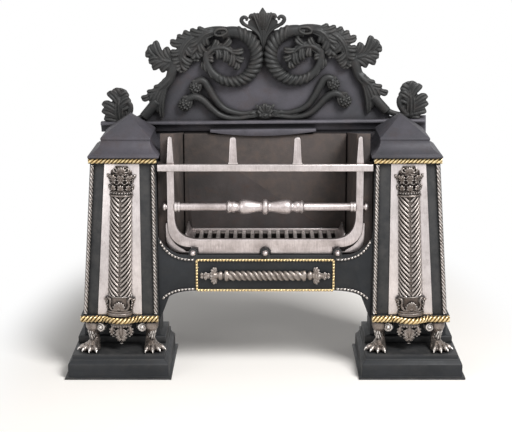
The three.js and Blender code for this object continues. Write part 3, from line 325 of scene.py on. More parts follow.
def copyOfNode(node, soft):  # a CAD node's shape with its triangles merged and its edges eased
    piece = twin(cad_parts[node])
    piece.parent = None
    for key in list(piece.keys()):
        del piece[key]
    editAll(piece)
    bpy.ops.mesh.remove_doubles(threshold=0.00001)
    bpy.ops.mesh.dissolve_limited(angle_limit=math.radians(1))
    leaveEdit()
    softEdges(piece, soft / 1000)
    return piece


# carving: one leaf lobe and one bead, copied
lobeLine = [(0, 0, 0), (14, 0, 3), (30, 0, 5), (42, 0, 4.6), (48, 0, 3.2), (50, 0, 2)]
lobe = sweep("lobe", lobeLine, [5.4, 7.6, 9.6, 9.4, 6.8, 2.8], lobeSection, steps=3)
bpy.ops.mesh.primitive_uv_sphere_add(segments=10, ring_count=7, radius=1, location=(0, 0, 0))
bead = bpy.context.object
bead.name = "bead"


def placeLobe(root, tip, width, height, bow=0.0):  # bow bends the lobe sideways, as a share of its length
    root, tip = Vector(root).to_3d(), Vector(tip).to_3d()
    along = tip - root
    angle = math.atan2(along.y, along.x)
    slope = math.atan2(along.z, math.hypot(along.x, along.y))
    piece = twin(lobe, stretch(along.length / 50, width / 10, height / 8))
    for point in piece.data.vertices:
        share = point.co.x / along.length
        point.co.y += 4 * bow * along.length * share * (1 - share)
    aimed = Matrix.Rotation(angle, 4, "Z") @ Matrix.Rotation(-slope, 4, "Y")
    piece.data.transform(Matrix.Translation(root) @ aimed)
    return piece


# a body and rib, and a lobe to each tip (share, x, y, z)
def leaf(spine, lobes, width, height, blade, rib=3.4, bow=0.09):
    line = [pointOn(spine, i / 6) for i in range(7)]
    low = [p - Vector((0, 0, 0.32 * blade)) for p in line]
    parts = [
        sweep("blade", low, [blade * r for r in (0.7, 0.95, 1, 0.95, 0.82, 0.6, 0.3)], flutedSection),
        sweep("rib", line, [rib * r for r in (1, 1.2, 1.2, 1.1, 0.9, 0.7, 0.45)], roundSection),
    ]
    for share, x, y, z in lobes:
        root, heading = pointOn(spine, share), headingOn(spine, share)
        side = 1 if heading.x * (y - root.y) - heading.y * (x - root.x) > 0 else -1
        root.z -= 0.3 * height
        parts.append(placeLobe(root, (x, y, z), width, height, -side * bow))
    return joined("leaf", parts)


def castTogether(piece, voxel, rounds=2):  # the parts of a casting run into one skin
    for point in piece.data.vertices:
        point.co.z = max(point.co.z, 0)
    useModifier(piece, "REMESH", mode="VOXEL", voxel_size=voxel)
    useModifier(piece, "SMOOTH", factor=0.5, iterations=rounds)
    return piece


def leafAlong(name, spine, width, pairs, height, lean=0.6, lobeWidth=0.5, body=0.4):
    spine = [Vector(p).to_3d() for p in spine]
    sizes = [body * width * s for s in (0.5, 0.85, 0.9, 0.68, 0.2)]
    parts = [sweep(name, [pointOn(spine, i / 4) for i in range(5)], sizes, flutedSection, steps=4)]
    for i in range(pairs):
        at = 0.04 + 0.78 * i / max(pairs - 1, 1)
        heading = headingOn(spine, at)
        swell = math.sin(math.pi * (0.2 + 0.66 * at)) ** 0.8
        reach = width / 2 * swell
        for side in (-1, 1):
            out = Vector((-heading.y, heading.x, 0)).normalized() * side
            root = pointOn(spine, at) - heading * reach * 0.15
            tip = root + out * reach * 0.86 + heading * reach * lean * 1.3
            tip.z = root.z - 0.1 * height
            root.z -= 0.12 * height
            parts.append(placeLobe(root, tip, lobeWidth * reach, height, -side * 0.08))
    end, near = pointOn(spine, 1), pointOn(spine, 0.72)
    parts.append(placeLobe(near, end + (end - near) * 0.15, lobeWidth * width * 0.42, height * 0.9))
    return joined(name, parts)


def fan(name, root, tips, width, height):  # lobes that spread from one root
    return joined(name, [placeLobe(root, tip, width, height) for tip in tips])


def lengthOf(points):
    return sum((b - a).length for a, b in zip(points, points[1:]))


def spotOn(points, distance):  # the place this far along a bent line, and the run that it lies on
    for a, b in zip(points, points[1:]):
        run = b - a
        if distance <= run.length or b is points[-1]:
            return a + run * min(1, distance / run.length), run
        distance -= run.length


def beadRow(points, size, pitch):  # beads set at an even pitch
    points = [Vector(p) for p in points]
    total = lengthOf(points)
    count = max(1, round(total / pitch))
    beads = []
    for i in range(count):
        spot, run = spotOn(points, (i + 0.5) / count * total)
        heading = math.degrees(math.atan2(run.y, run.x))
        beads.append(twin(bead, Matrix.Translation(spot) @ turn(heading) @ stretch(*size)))
    return beads


# finishes
def hexColour(text):
    parts = [int(text[i : i + 2], 16) / 255 for i in (1, 3, 5)]
    return (*[c / 12.92 if c <= 0.04045 else ((c + 0.055) / 1.055) ** 2.4 for c in parts], 1)


def addNode(tree, kind, inputs=None, **settings):  # a node with its inputs linked or set
    node = tree.nodes.new("ShaderNode" + kind)
    for key, value in settings.items():
        setattr(node, key, value)
    for key, value in (inputs or {}).items():
        if isinstance(value, bpy.types.NodeSocket):
            tree.links.new(value, node.inputs[key])
        else:
            node.inputs[key].default_value = value
    return node


def makeFinish(name, s):
    look = bpy.data.materials.new(name)
    look.use_nodes = True
    tree = look.node_tree
    shader = tree.nodes["Principled BSDF"]

    def add(kind, inputs=None, **settings):
        return addNode(tree, kind, inputs, **settings)

    def spread(value, low, high, toLow=0.0, toHigh=1.0):
        ends = {"From Min": low, "From Max": high, "To Min": toLow, "To Max": toHigh}
        return add("MapRange", {"Value": value, **ends}).outputs[0]

    def noise(place, scale, detail, roughness):
        values = {"Vector": place, "Scale": scale, "Detail": detail, "Roughness": roughness}
        return add("TexNoise", values).outputs[0]

    def math2(operation, a, b):
        return add("Math", {0: a, 1: b}, operation=operation).outputs[0]

    def blend(share, a, b):
        node = add("Mix", {"Factor": share}, data_type="RGBA")
        for socket, value in ((node.inputs[6], a), (node.inputs[7], b)):
            if isinstance(value, str):
                socket.default_value = hexColour(value)
            else:
                tree.links.new(value, socket)
        return node.outputs[2]

    here = add("TexCoord").outputs["Object"]
    grainPlace = add("Mapping", {"Vector": here, "Scale": s["grainStretch"]}).outputs[0]
    patch = noise(here, s["patchScale"], 5.0, 0.62)
    blotch = noise(here, s["patchScale"] * 3.7, 4.0, 0.7)
    grain = noise(grainPlace, s["grainScale"], 4.0, 0.65)
    tone = blend(spread(patch, 0.36, 0.64), s["dark"], s["light"])
    tone = blend(math2("MULTIPLY", spread(blotch, 0.5, 0.74), s["stainAmount"]), tone, s["stain"])
    tone = blend(math2("MULTIPLY", spread(grain, 0.35, 0.7), s["speckAmount"]), tone, s["speck"])

    geometry = add("NewGeometry")
    shape = add("Bevel", {"Radius": s["edgeRadius"]}, samples=4).outputs[0]
    facing = add("VectorMath", {0: shape, 1: geometry.outputs["Normal"]}, operation="DOT_PRODUCT").outputs["Value"]
    corner = spread(facing, 0.985, 0.8)
    crown = spread(geometry.outputs["Pointiness"], *s["crown"])
    rub = math2("MULTIPLY", math2("MAXIMUM", corner, crown), spread(blotch, 0.3, 0.6, 0.25, 1.0))
    # painted shade: ambient occlusion darkens hollows, creases and the undersides of overhangs towards the grime
    # colour. This is partly grime and patina in hollows and partly painted shade
    shade = add("AmbientOcclusion", {"Distance": s["grimeAndShadeReach"]}, samples=8).outputs["AO"]
    grimeAndShade = math2("MULTIPLY", spread(shade, *s["grimeAndShadeRange"], 1.0, 0.0), s["grimeAndShadeAmount"])
    edge = math2("MULTIPLY", math2("MULTIPLY", rub, s["wear"]), spread(grimeAndShade, 0.0, s["grimeAndShadeAmount"], 1.0, 0.15))
    tone = blend(grimeAndShade, tone, s["grimeAndShade"])
    tone = blend(edge, tone, s["worn"])
    tree.links.new(tone, shader.inputs["Base Color"])

    rough = spread(blotch, 0.3, 0.7, *s["rough"])
    rough = math2("ADD", rough, math2("MULTIPLY", grimeAndShade, s["grimeAndShadeRough"]))
    tree.links.new(math2("SUBTRACT", rough, math2("MULTIPLY", edge, 0.12)), shader.inputs["Roughness"])
    shader.inputs["Metallic"].default_value = s["metal"]
    shader.inputs["Specular IOR Level"].default_value = s["specular"]
    fine = add("Bump", {"Height": grain, "Strength": s["grainBump"], "Distance": 0.0006})
    coarse = add("Bump", {"Height": blotch, "Strength": s["castBump"], "Distance": 0.003, "Normal": fine.outputs[0]})
    tree.links.new(coarse.outputs[0], shader.inputs["Normal"])
    return look


# grime colour, amount, reach and range: painted shade in hollows and under overhangs, together with grime and patina
# there
ironBase = {
    "patchScale": 9.0, "grainScale": 420.0, "grainStretch": (1, 1, 1), "edgeRadius": 0.0016, "crown": (0.53, 0.6),
    "grimeAndShadeReach": 0.012, "grimeAndShadeRange": (0.25, 0.85), "grimeAndShadeRough": 0.15, "metal": 0.1, "specular": 0.3,
    "speck": "#17191b", "speckAmount": 0.25, "stain": "#33312f", "stainAmount": 0.35, "rough": (0.46, 0.62),
    "grainBump": 0.35, "castBump": 0.12,
}
finishes = {
    "blackIron": {
        **ironBase, "slot": "black_iron", "dark": "#191b1e", "light": "#26282b", "worn": "#5f5d5b", "wear": 0.5,
        "grimeAndShade": "#0e0f10", "grimeAndShadeAmount": 0.6,
    },
    "greyIron": {
        **ironBase, "slot": "grey_iron", "dark": "#242525", "light": "#343434", "stain": "#3b3432",
        "stainAmount": 0.55, "worn": "#716f6b", "wear": 0.6, "grimeAndShade": "#0c0c0c", "grimeAndShadeAmount": 0.95,
        "rough": (0.42, 0.62), "crown": (0.51, 0.58), "castBump": 0.2, "grimeAndShadeRange": (0.35, 0.92),
    },
    "plateIron": {
        **ironBase, "slot": "grey_iron", "dark": "#3b3b3f", "light": "#524f56", "stain": "#4a4141",
        "stainAmount": 0.7, "worn": "#85828a", "wear": 0.55, "grimeAndShade": "#141314", "grimeAndShadeAmount": 0.85,
        "rough": (0.45, 0.68), "castBump": 0.22, "patchScale": 6.0, "grimeAndShadeReach": 0.03,
    },
    "burntIron": {
        **ironBase, "slot": "burnt_iron", "dark": "#383433", "light": "#4a4342", "stain": "#55433b",
        "stainAmount": 0.5, "worn": "#7c7068", "wear": 0.4, "grimeAndShade": "#1a1716", "grimeAndShadeAmount": 0.8,
        "rough": (0.6, 0.85), "castBump": 0.3, "metal": 0.1, "specular": 0.3,
    },
    "steel": {
        **ironBase, "slot": "polished_steel", "dark": "#b6acaa", "light": "#ded4d3", "stain": "#8d807c",
        "stainAmount": 0.5, "speck": "#6f6460", "speckAmount": 0.35, "worn": "#fbf6f4", "wear": 0.6,
        "grimeAndShade": "#4b403b", "grimeAndShadeAmount": 0.75, "rough": (0.28, 0.42), "metal": 0.9, "specular": 0.5,
        "grainStretch": (1, 1, 0.12), "grainScale": 520.0, "grainBump": 0.14, "castBump": 0.1, "patchScale": 16.0,
        "grimeAndShadeReach": 0.006, "grimeAndShadeRange": (0.35, 0.9),
    },
    "silvered": {
        **ironBase, "slot": "silvered", "dark": "#7d726b", "light": "#a39992", "stain": "#4d423b", "stainAmount": 0.6,
        "speck": "#3a302a", "speckAmount": 0.3, "worn": "#fffaf6", "wear": 1.0, "grimeAndShade": "#120c09",
        "grimeAndShadeAmount": 1.0, "rough": (0.24, 0.4), "metal": 0.85, "specular": 0.5, "patchScale": 30.0,
        "grimeAndShadeReach": 0.012, "grimeAndShadeRange": (0.5, 0.97), "crown": (0.51, 0.58), "grimeAndShadeRough": 0.4,
    },
    "gilt": {
        **ironBase, "slot": "gilt", "dark": "#bd9553", "light": "#dfbf80", "stain": "#80602e", "stainAmount": 0.45,
        "speck": "#664a21", "speckAmount": 0.25, "worn": "#fff0c8", "wear": 0.9, "grimeAndShade": "#2f2009",
        "grimeAndShadeAmount": 1.0, "rough": (0.24, 0.38), "metal": 0.88, "specular": 0.5, "patchScale": 30.0,
        "grimeAndShadeReach": 0.0055, "grimeAndShadeRange": (0.5, 0.95), "crown": (0.51, 0.6), "grimeAndShadeRough": 0.35,
    },
}
finishes["ropeSilver"] = {**finishes["silvered"], "dark": "#776c65", "light": "#9d928b", "crown": (0.52, 0.62),
                          "grimeAndShadeReach": 0.007, "grimeAndShadeRange": (0.66, 1.0)}
# a lighter copy of the gilt, painted light for the top ropes that lie in the cap's shadow
finishes["paintedLightGilt"] = {**finishes["gilt"], "dark": "#d9b06c", "light": "#f3d795", "grimeAndShadeAmount": 0.85}
finishes["carvedSilver"] = {**finishes["silvered"], "dark": "#5f554e", "light": "#867b74", "wear": 0.85,
                            "grimeAndShadeRange": (0.6, 1.0)}
finishes["grateSteel"] = {
    **finishes["steel"], "slot": "burnt_iron", "dark": "#a3978f", "light": "#ddd2cc", "stain": "#8a5a42",
    "stainAmount": 0.4, "wear": 1.0, "metal": 0.6, "grimeAndShade": "#070504", "grimeAndShadeAmount": 1.0, "grimeAndShadeReach": 0.02,
    "grimeAndShadeRange": (0.35, 0.8), "grainStretch": (1, 1, 1),
}
looks = {name: makeFinish(name, values) for name, values in finishes.items()}
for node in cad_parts.values():
    node.data.materials.clear()
    node.data.materials.append(looks["blackIron"])
print("finishes made")


# blocks: lifts the top face, then draws it in, and from the back too where that is free
def raiseTop(piece, rise, inset, keepBack=False, shift=0):
    top = max(v.co.z for v in piece.data.vertices)
    corners = [v.co.copy() for v in piece.data.vertices if abs(v.co.z - top) < 0.001]
    xs, ys = [c.x for c in corners], [c.y for c in corners]
    middle = ((min(xs) + max(xs)) / 2, max(ys) if keepBack else (min(ys) + max(ys)) / 2, top)
    wide, deep = max(xs) - min(xs), max(ys) - min(ys)
    editFaces(piece, lambda face, points: all(abs(point.z - top) < 0.001 for point in points))
    bpy.ops.mesh.extrude_region_move(TRANSFORM_OT_translate={"value": (0, 0, rise)})
    share = ((wide - 2 * inset) / wide, (deep - (1 if keepBack else 2) * inset) / deep, 1)
    bpy.ops.transform.resize(value=share, center_override=middle)
    bpy.ops.transform.translate(value=(shift, 0, 0))
    leaveEdit()


def hollowBelow(piece, wall, depth):  # a cast block is open underneath
    editFaces(piece, lambda face, points: face.normal.z < -0.9 and all(point.z < 0.01 for point in points))
    bpy.ops.mesh.inset(thickness=wall)
    bpy.ops.mesh.extrude_region_move(TRANSFORM_OT_translate={"value": (0, 0, depth)})
    leaveEdit()


def addBlock(name, x0, x1, y0, y1, z0, z1):
    clearPick()
    bpy.ops.mesh.primitive_cube_add(size=1, location=((x0 + x1) / 2, (y0 + y1) / 2, (z0 + z1) / 2))
    bpy.ops.transform.resize(value=(x1 - x0, y1 - y0, z1 - z0))
    bpy.ops.object.transform_apply(location=True, rotation=True, scale=True)
    bpy.context.object.name = name
    return bpy.context.object


# plinths, pedestals and caps
plinth = {
    "low": (225, 480, -129, 129, 0, 5),
    "steps": [(0.5, 6.8), (29.5, 0.2), (2.4, 1.6), (5.6, 5.4), (3, 0.6), (0.8, 2.2), (11.2, 0)],
    "soft": 1.3, "wall": 24, "hollow": 46,
}
piece = addBlock("plinth", *plinth["low"])
for rise, inset in plinth["steps"]:
    raiseTop(piece, rise, inset)
hollowBelow(piece, plinth["wall"], plinth["hollow"])
softEdges(piece, plinth["soft"])
finishBoth(piece, "plinth_block", small, "blackIron", "plinth")

pedestal = {"low": (245, 460, -23, 99, 58.3, 74), "steps": [(1.2, 1.2), (0.8, 12.8), (55, 0)], "soft": 1.2}
piece = addBlock("pedestal", *pedestal["low"])
for rise, inset in pedestal["steps"]:
    raiseTop(piece, rise, inset)
softEdges(piece, pedestal["soft"])
finishBoth(piece, "pedestal_block", small, "blackIron", "pedestal")

cap = {
    "low": (249, 415, -94, 92.7, 533, 537.5), "shift": -0.15,
    "steps": [(1, 1), (0.8, 2.8), (1.6, 0.3), (0.6, 1.8), (2.4, 3.6), (3.4, 4.4), (4.4, 4.4), (5.4, 3.6), (6.4, 2.6),
              (7.2, 1.6), (0.6, -1.4), (5.2, 0), (0.8, 1.4)],
    "ridge": (323, 0, 28, 622.6), "soft": 0.7,
}
piece = addBlock("cap", *cap["low"])
for rise, inset in cap["steps"]:
    raiseTop(piece, rise, inset, keepBack=True, shift=cap["shift"] * inset)
x, front, back, top = cap["ridge"]
level = max(v.co.z for v in piece.data.vertices)
raiseTop(piece, top - level, 4)
for point in piece.data.vertices:
    if point.co.z > top - 0.01:
        point.co = (x, front if point.co.y < 0 else back, top)
softEdges(piece, cap["soft"], angle=15)
finishBoth(piece, "cap_roof", small, "plateIron", "cap", angle=24)
print("plinths, pedestals and caps")

# pylon casings, facings and ropes
face = {"front": -84, "bottom": 150, "lean": 12, "height": 367, "column": (349, -3.6), "drift": -12}
faceLength = math.hypot(face["height"], face["lean"])
leanAngle = math.degrees(math.atan2(face["lean"], face["height"]))
driftAngle = math.degrees(math.atan2(face["drift"], faceLength))
facePlace = small @ move(0, face["front"], face["bottom"]) @ turn(-leanAngle, "X")
onFace = facePlace @ upright
standPlace = facePlace @ move(*face["column"]) @ turn(driftAngle, "Y") @ upright

for side in ("left", "right"):
    piece = copyOfNode(side + "_pylon_casing", 1.2)
    finishPiece(piece, side + "_casing", Matrix(), "blackIron", side + "_pylon_casing")
    piece = copyOfNode(side + "_steel_facing", 0.6)
    finishPiece(piece, side + "_facing_plate", Matrix(), "steel", side + "_steel_facing")

ropes = {
    "outer": (431, 406), "inner": (262.6, 264.4), "ends": 3, "cornerRadius": 4.7, "cornerTwist": 29,
    "giltRadius": 8.6, "giltTopRadius": 7.6, "giltTwist": 29, "spacing": 6,
}


def addRope(name, points, radius, twist, place, finish, stands, hand):
    points = [Vector(p) for p in points]
    length = lengthOf(points)
    if len(points) > 2:  # a bowed rope gets its points an even distance apart
        count = round(length / ropes["spacing"])
        points = [spotOn(points, length * i / count)[0] for i in range(count + 1)]
    twists = hand * length / twist
    steps = max(4, round(abs(twists) * 16 / (len(points) - 1)))
    piece = sweep(name, points, radius, ropeSection, twists=twists, steps=steps)
    finishPiece(piece, name, place, finish, stands, angle=60)


# each side, the way its ropes are laid and its flip
hands = (("right", -1, Matrix()), ("left", 1, mirrored))


def giltRopes(name, line, radius, finish, stands):
    for side, hand, flip in hands:
        addRope(side + name, line, radius, ropes["giltTwist"], flip @ small, finish, side + stands, hand)


for side, hand, flip in hands:
    radius, ends = ropes["cornerRadius"], ropes["ends"]
    for where in ("outer", "inner"):
        low, high = ropes[where]
        points = [(low, ends, 0.82 * radius), (high, faceLength - ends, 0.82 * radius)]
        name, stands = f"{side}_{where}_edge_rope", f"{side}_{where}_rope"
        addRope(name, points, radius, ropes["cornerTwist"], flip @ onFace, "ropeSilver", stands, hand)

baseBoard = {
    "front": -90, "left": 256.3, "right": 442.7, "back": 88.7, "middle": 346.5, "half": 41, "bow": 18,
    "low": 131.3, "height": 18.4, "rope": 140.6,
}


def bowedLine(b, y, count=16):
    points = [(b["left"], y)]
    for i in range(count + 1):
        share = i / count
        points.append((b["middle"] - b["half"] * (1 - 2 * share), y - b["bow"] * math.sin(math.pi * share) ** 1.3))
    return points + [(b["right"], y)]


outline = bowedLine(baseBoard, baseBoard["front"] + 1)
outline += [(baseBoard["right"], baseBoard["back"]), (baseBoard["left"], baseBoard["back"])]
board = flatPiece("board", [outline], baseBoard["height"], 1.2)
finishBoth(board, "base_board", small @ move(z=baseBoard["low"]), "blackIron", "base_moulding")
line = [(x, y - 0.6, baseBoard["rope"]) for x, y in bowedLine(baseBoard, baseBoard["front"])]
giltRopes("_base_rope", line, ropes["giltRadius"], "gilt", "_base_moulding")

topBoard = {"x": (255.2, 414.8), "y": (-78.5, 92.6), "z": (517.2, 532.8), "rope": (-80.2, 525)}
board = addBlock("board", *topBoard["x"], *topBoard["y"], *topBoard["z"])
softEdges(board, 1.0)
finishBoth(board, "top_board", small, "blackIron", "top_moulding")
# the top ropes take the gilt that is painted lighter against the cap's shadow
line = [(x, *topBoard["rope"]) for x in topBoard["x"]]
giltRopes("_top_rope", line, ropes["giltTopRadius"], "paintedLightGilt", "_top_moulding")
print("pylons and ropes")

# herringbone columns
shaft = {
    "bottom": 50.4, "top": 290.0, "lowRadius": 25.2, "highRadius": 22, "pitch": 12.0, "slope": 1.0, "rib": 2.9,
    "ribDepth": 4.0,
}


def shaftRadius(y):
    share = (y - shaft["bottom"]) / (shaft["top"] - shaft["bottom"])
    return shaft["lowRadius"] + (shaft["highRadius"] - shaft["lowRadius"]) * share


reach = math.pi / 2 * shaft["lowRadius"]
ribLine = [(1.4, 0, 0), (4, 3 * shaft["slope"], 0.4), (reach / 2, reach / 2 * shaft["slope"], 0.4),
           (reach, reach * shaft["slope"], 0.4)]
rib = sweep("rib", ribLine, [shaft["rib"] * s for s in (0.5, 0.95, 1, 0.95)], roundSection, steps=6)
rib.data.transform(stretch(1, 1, shaft["ribDepth"] / shaft["rib"]))
rib = joined("rib", [rib, twin(rib, mirrored)])
rows = range(-4, math.ceil((shaft["top"] - shaft["bottom"]) / shaft["pitch"]) + 1)
ribs = [twin(rib, move(y=shaft["bottom"] + row * shaft["pitch"])) for row in rows]
herringbone = joined("herringbone", ribs)
discard(rib)
wrapRound(herringbone, shaftRadius)
core = halfTurned("core", [(y, shaftRadius(y) - 1.4) for y in (shaft["bottom"] - 30, shaft["top"] + 30)])
column = castTogether(joined("column", [herringbone, core]), 0.9, 1)
cutLevel(column, shaft["bottom"], True)
cutLevel(column, shaft["top"], False)
finishBoth(column, "herringbone_shaft", standPlace, "silvered", "column_shaft", angle=60)


# capitals
capital = {
    "bottom": 290.3, "radius": 24.0,
    "core": [(0, 26.5), (0.8, 28.2), (2.4, 29), (4.2, 28.4), (5.2, 26.4), (6, 24), (11, 24), (12, 25), (13.4, 25),
             (14.4, 22.6), (28, 22.6), (29.4, 25), (31.4, 25), (32.6, 22.4), (48, 25), (53, 26), (56, 22), (61, 17),
             (71.4, 15)],
    "leafAt": (-34, -17, 0, 17, 34), "flowerAt": (-33, -16.5, 0, 16.5, 33),
    "flower": [(-6.4, 21, 2), (-4.6, 27.4, 2), (0, 29.4, 3), (4.6, 27.4, 2), (6.4, 21, 2)],
    "acanthus": [(0, 31.5, 0), (0, 38, 1.4), (0, 44, 3.8), (0, 48.6, 6.6), (0, 49.4, 8.8)],
    "upper": [(-11.5, 60, 4), (-8.4, 66.5, 4), (-4.2, 70, 4.6), (0, 71.2, 5), (4.2, 70, 4.6), (8.4, 66.5, 4),
              (11.5, 60, 4)],
    "curl": [(8, 55, 15), (14, 58, 15), (17.5, 63, 13.5), (15, 67.4, 12.5), (11.6, 65.4, 13), (12.6, 62.4, 14)],
    "curlSizes": [1.6, 2.2, 2.3, 2, 1.6, 1.2],
}
parts = [halfTurned("capitalCore", capital["core"])]
ring = beadRow([(-38, 9, 1.5), (38, 9, 1.5)], (2.6, 2.6, 2.21), 6.1)
flower = fan("flower", (0, 15, 0), capital["flower"], 2.2, 4.2)
flower = joined("flower", [flower, twin(bead, move(0, 18.6, 3.4) @ stretch(2.6, 2.6, 2.4))])
flowers = [twin(flower, move(x=x)) for x in capital["flowerAt"]]
acanthus = leafAlong("acanthus", capital["acanthus"], 17, 4, 4.4, lean=0.5)
tipCurl = twin(bead, move(0, 48.2, 8) @ stretch(5.4, 3, 2.8))
acanthus = joined("acanthus", [acanthus, tipCurl])
leaves = [twin(acanthus, move(x=x)) for x in capital["leafAt"]]
wrapped = joined("wrapped", ring + flowers + leaves)
discard(flower, acanthus)
wrapRound(wrapped, lambda y: capital["radius"])
upper = fan("upper", (0, 53, 2), capital["upper"], 2.3, 4)
shell = joined("shell", [upper, twin(bead, move(0, 56.5, 5) @ stretch(3.6, 3.2, 3))])
sides = [twin(shell, stretch(0.72, 0.9, 1) @ move(x=x)) for x in (-26, 26)]
crown = joined("crown", [shell] + sides)
wrapRound(crown, lambda y: 17.5)
curls = [sweep("curl", capital["curl"], capital["curlSizes"], roundSection)]
curls.append(twin(curls[0], mirrored))
piece = castTogether(joined("capital", parts + [wrapped, crown] + curls), 0.75)
finishBoth(piece, "carved_capital", standPlace @ move(y=capital["bottom"]), "carvedSilver", "capital", angle=60)

# column bases
base = {
    "radius": 27.5,
    "core": [(1.4, 31), (2, 32.2), (7.6, 32.2), (8.4, 30.4), (9.4, 29.4), (10.4, 30.8), (12.6, 31.2), (14, 30.4),
             (14.8, 27.4), (46, 27), (47, 28.6), (49, 28.6), (49.8, 26.4)],
    "palmette": [(-12.5, 20, 2), (-12.8, 27, 2.4), (-9.2, 33, 2.6), (-4.8, 37, 2.8), (0, 39, 3), (4.8, 37, 2.8),
                 (9.2, 33, 2.6), (12.8, 27, 2.4), (12.5, 20, 2)],
    "scroll": [(3, 16.5, 2), (12, 16.6, 2), (19.5, 20, 2.4), (23, 28, 2.6), (21.5, 37, 2.8), (25.5, 44, 3.2),
               (31, 43.6, 4), (31.6, 39, 4.6), (28.6, 37.6, 4.8)],
}
palmette = fan("palmette", (0, 17.5, 0.5), base["palmette"], 2.7, 4.6)
heart = twin(bead, move(0, 20, 3.4) @ stretch(4.4, 3.8, 3.4))
rightScroll = sweep("baseScroll", base["scroll"], [1.6, 2.4, 2.8, 2.9, 2.9, 2.9, 2.6, 2.2, 1.8], roundSection)
rightLeaf = leafAlong("baseLeaf", [(34, 16, 1), (35, 25, 2.4), (36, 34, 4), (37, 43, 7.5)], 15, 4, 4)
wrapped = joined("wrapped", [palmette, heart, rightScroll, twin(rightScroll, mirrored), rightLeaf,
                             twin(rightLeaf, mirrored)])
wrapRound(wrapped, lambda y: base["radius"])
piece = castTogether(joined("columnBase", [halfTurned("baseCore", base["core"]), wrapped]), 0.75)
finishBoth(piece, "carved_base", standPlace, "carvedSilver", "column_base", angle=60)

# pendants
pendant = {
    "dish": [(-0.4, 24), (-1.6, 27), (-3, 27), (-4, 24.4), (-9, 22), (-12, 15), (-15, 10), (-22, 8), (-32, 6),
             (-42, 3.4), (-49, 1.2)],
    "middle": ([(0, -9, 15), (0, -22, 18), (0, -36, 13), (0, -50.6, 4)],
               [(0.05, -14, -22, 8), (0.05, 14, -22, 8), (0.2, -15, -31, 7), (0.2, 15, -31, 7), (0.4, -12, -39, 6),
                (0.4, 12, -39, 6), (0.6, -7.4, -45, 5), (0.6, 7.4, -45, 5), (1, 0, -53, 2)], 4.2, 5, 7),
    "side": ([(19, -9, 7), (22, -17, 9), (22, -25, 7), (20, -33, 3)],
             [(0.1, 28, -18, 4), (0.3, 28, -25, 4), (0.6, 25, -32, 3), (0.2, 15, -18, 6), (0.5, 16, -27, 5),
              (1, 19, -37, 2)], 3.2, 4, 4.4),
}
dish = halfTurned("dish", pendant["dish"])
gadroons = joined("gadroons", beadRow([(-35, -7.4, 0), (35, -7.4, 0)], (3.168, 4.4, 3.96), 6.4))
wrapRound(gadroons, lambda y: 22.4)
sideLeaf = leaf(*pendant["side"])
piece = castTogether(joined("pendant", [dish, gadroons, leaf(*pendant["middle"]), sideLeaf,
                                        twin(sideLeaf, mirrored)]), 0.7)
pendantPlace = small @ move(346.5, -80.3, 130.7) @ upright @ stretch(1, 1, 0.86)
finishBoth(piece, "leaf_pendant", pendantPlace, "silvered", "pendant", angle=60)
print("columns, capitals, bases and pendants")

# lion's paws
paw = {
    "leg": [(0, 2, 72.6, 17), (0, 1, 66, 19.4), (0, 0.5, 58, 18.4), (0, 4, 48, 13.4), (0, 8, 38, 10.8),
            (0, 9, 29, 10.4), (0, 5, 19, 13.6), (0, -2, 10, 18), (0, -6, 4, 19.5), (0, -6, 0.4, 19.5)],
    "toeAngles": (-37, -12.5, 12.5, 37), "toe": (7.6, 15.5, 10.5), "voxel": 1.25,
    "volute": (-24.4, 59.4, 12.6),
    "locks": [(-64, 66, 40, 15), (-38, 70, 45, 16), (-12, 68, 36, 17), (14, 70, 42, 17), (40, 66, 38, 16),
              (66, 68, 46, 15), (-50, 56, 33, 13), (-25, 54, 28, 13.4), (0, 57, 24, 13.6), (26, 54, 29, 13.4),
              (52, 57, 35, 13), (100, 66, 42, 15), (150, 64, 40, 15), (-100, 66, 42, 15), (-150, 64, 40, 15)],
}


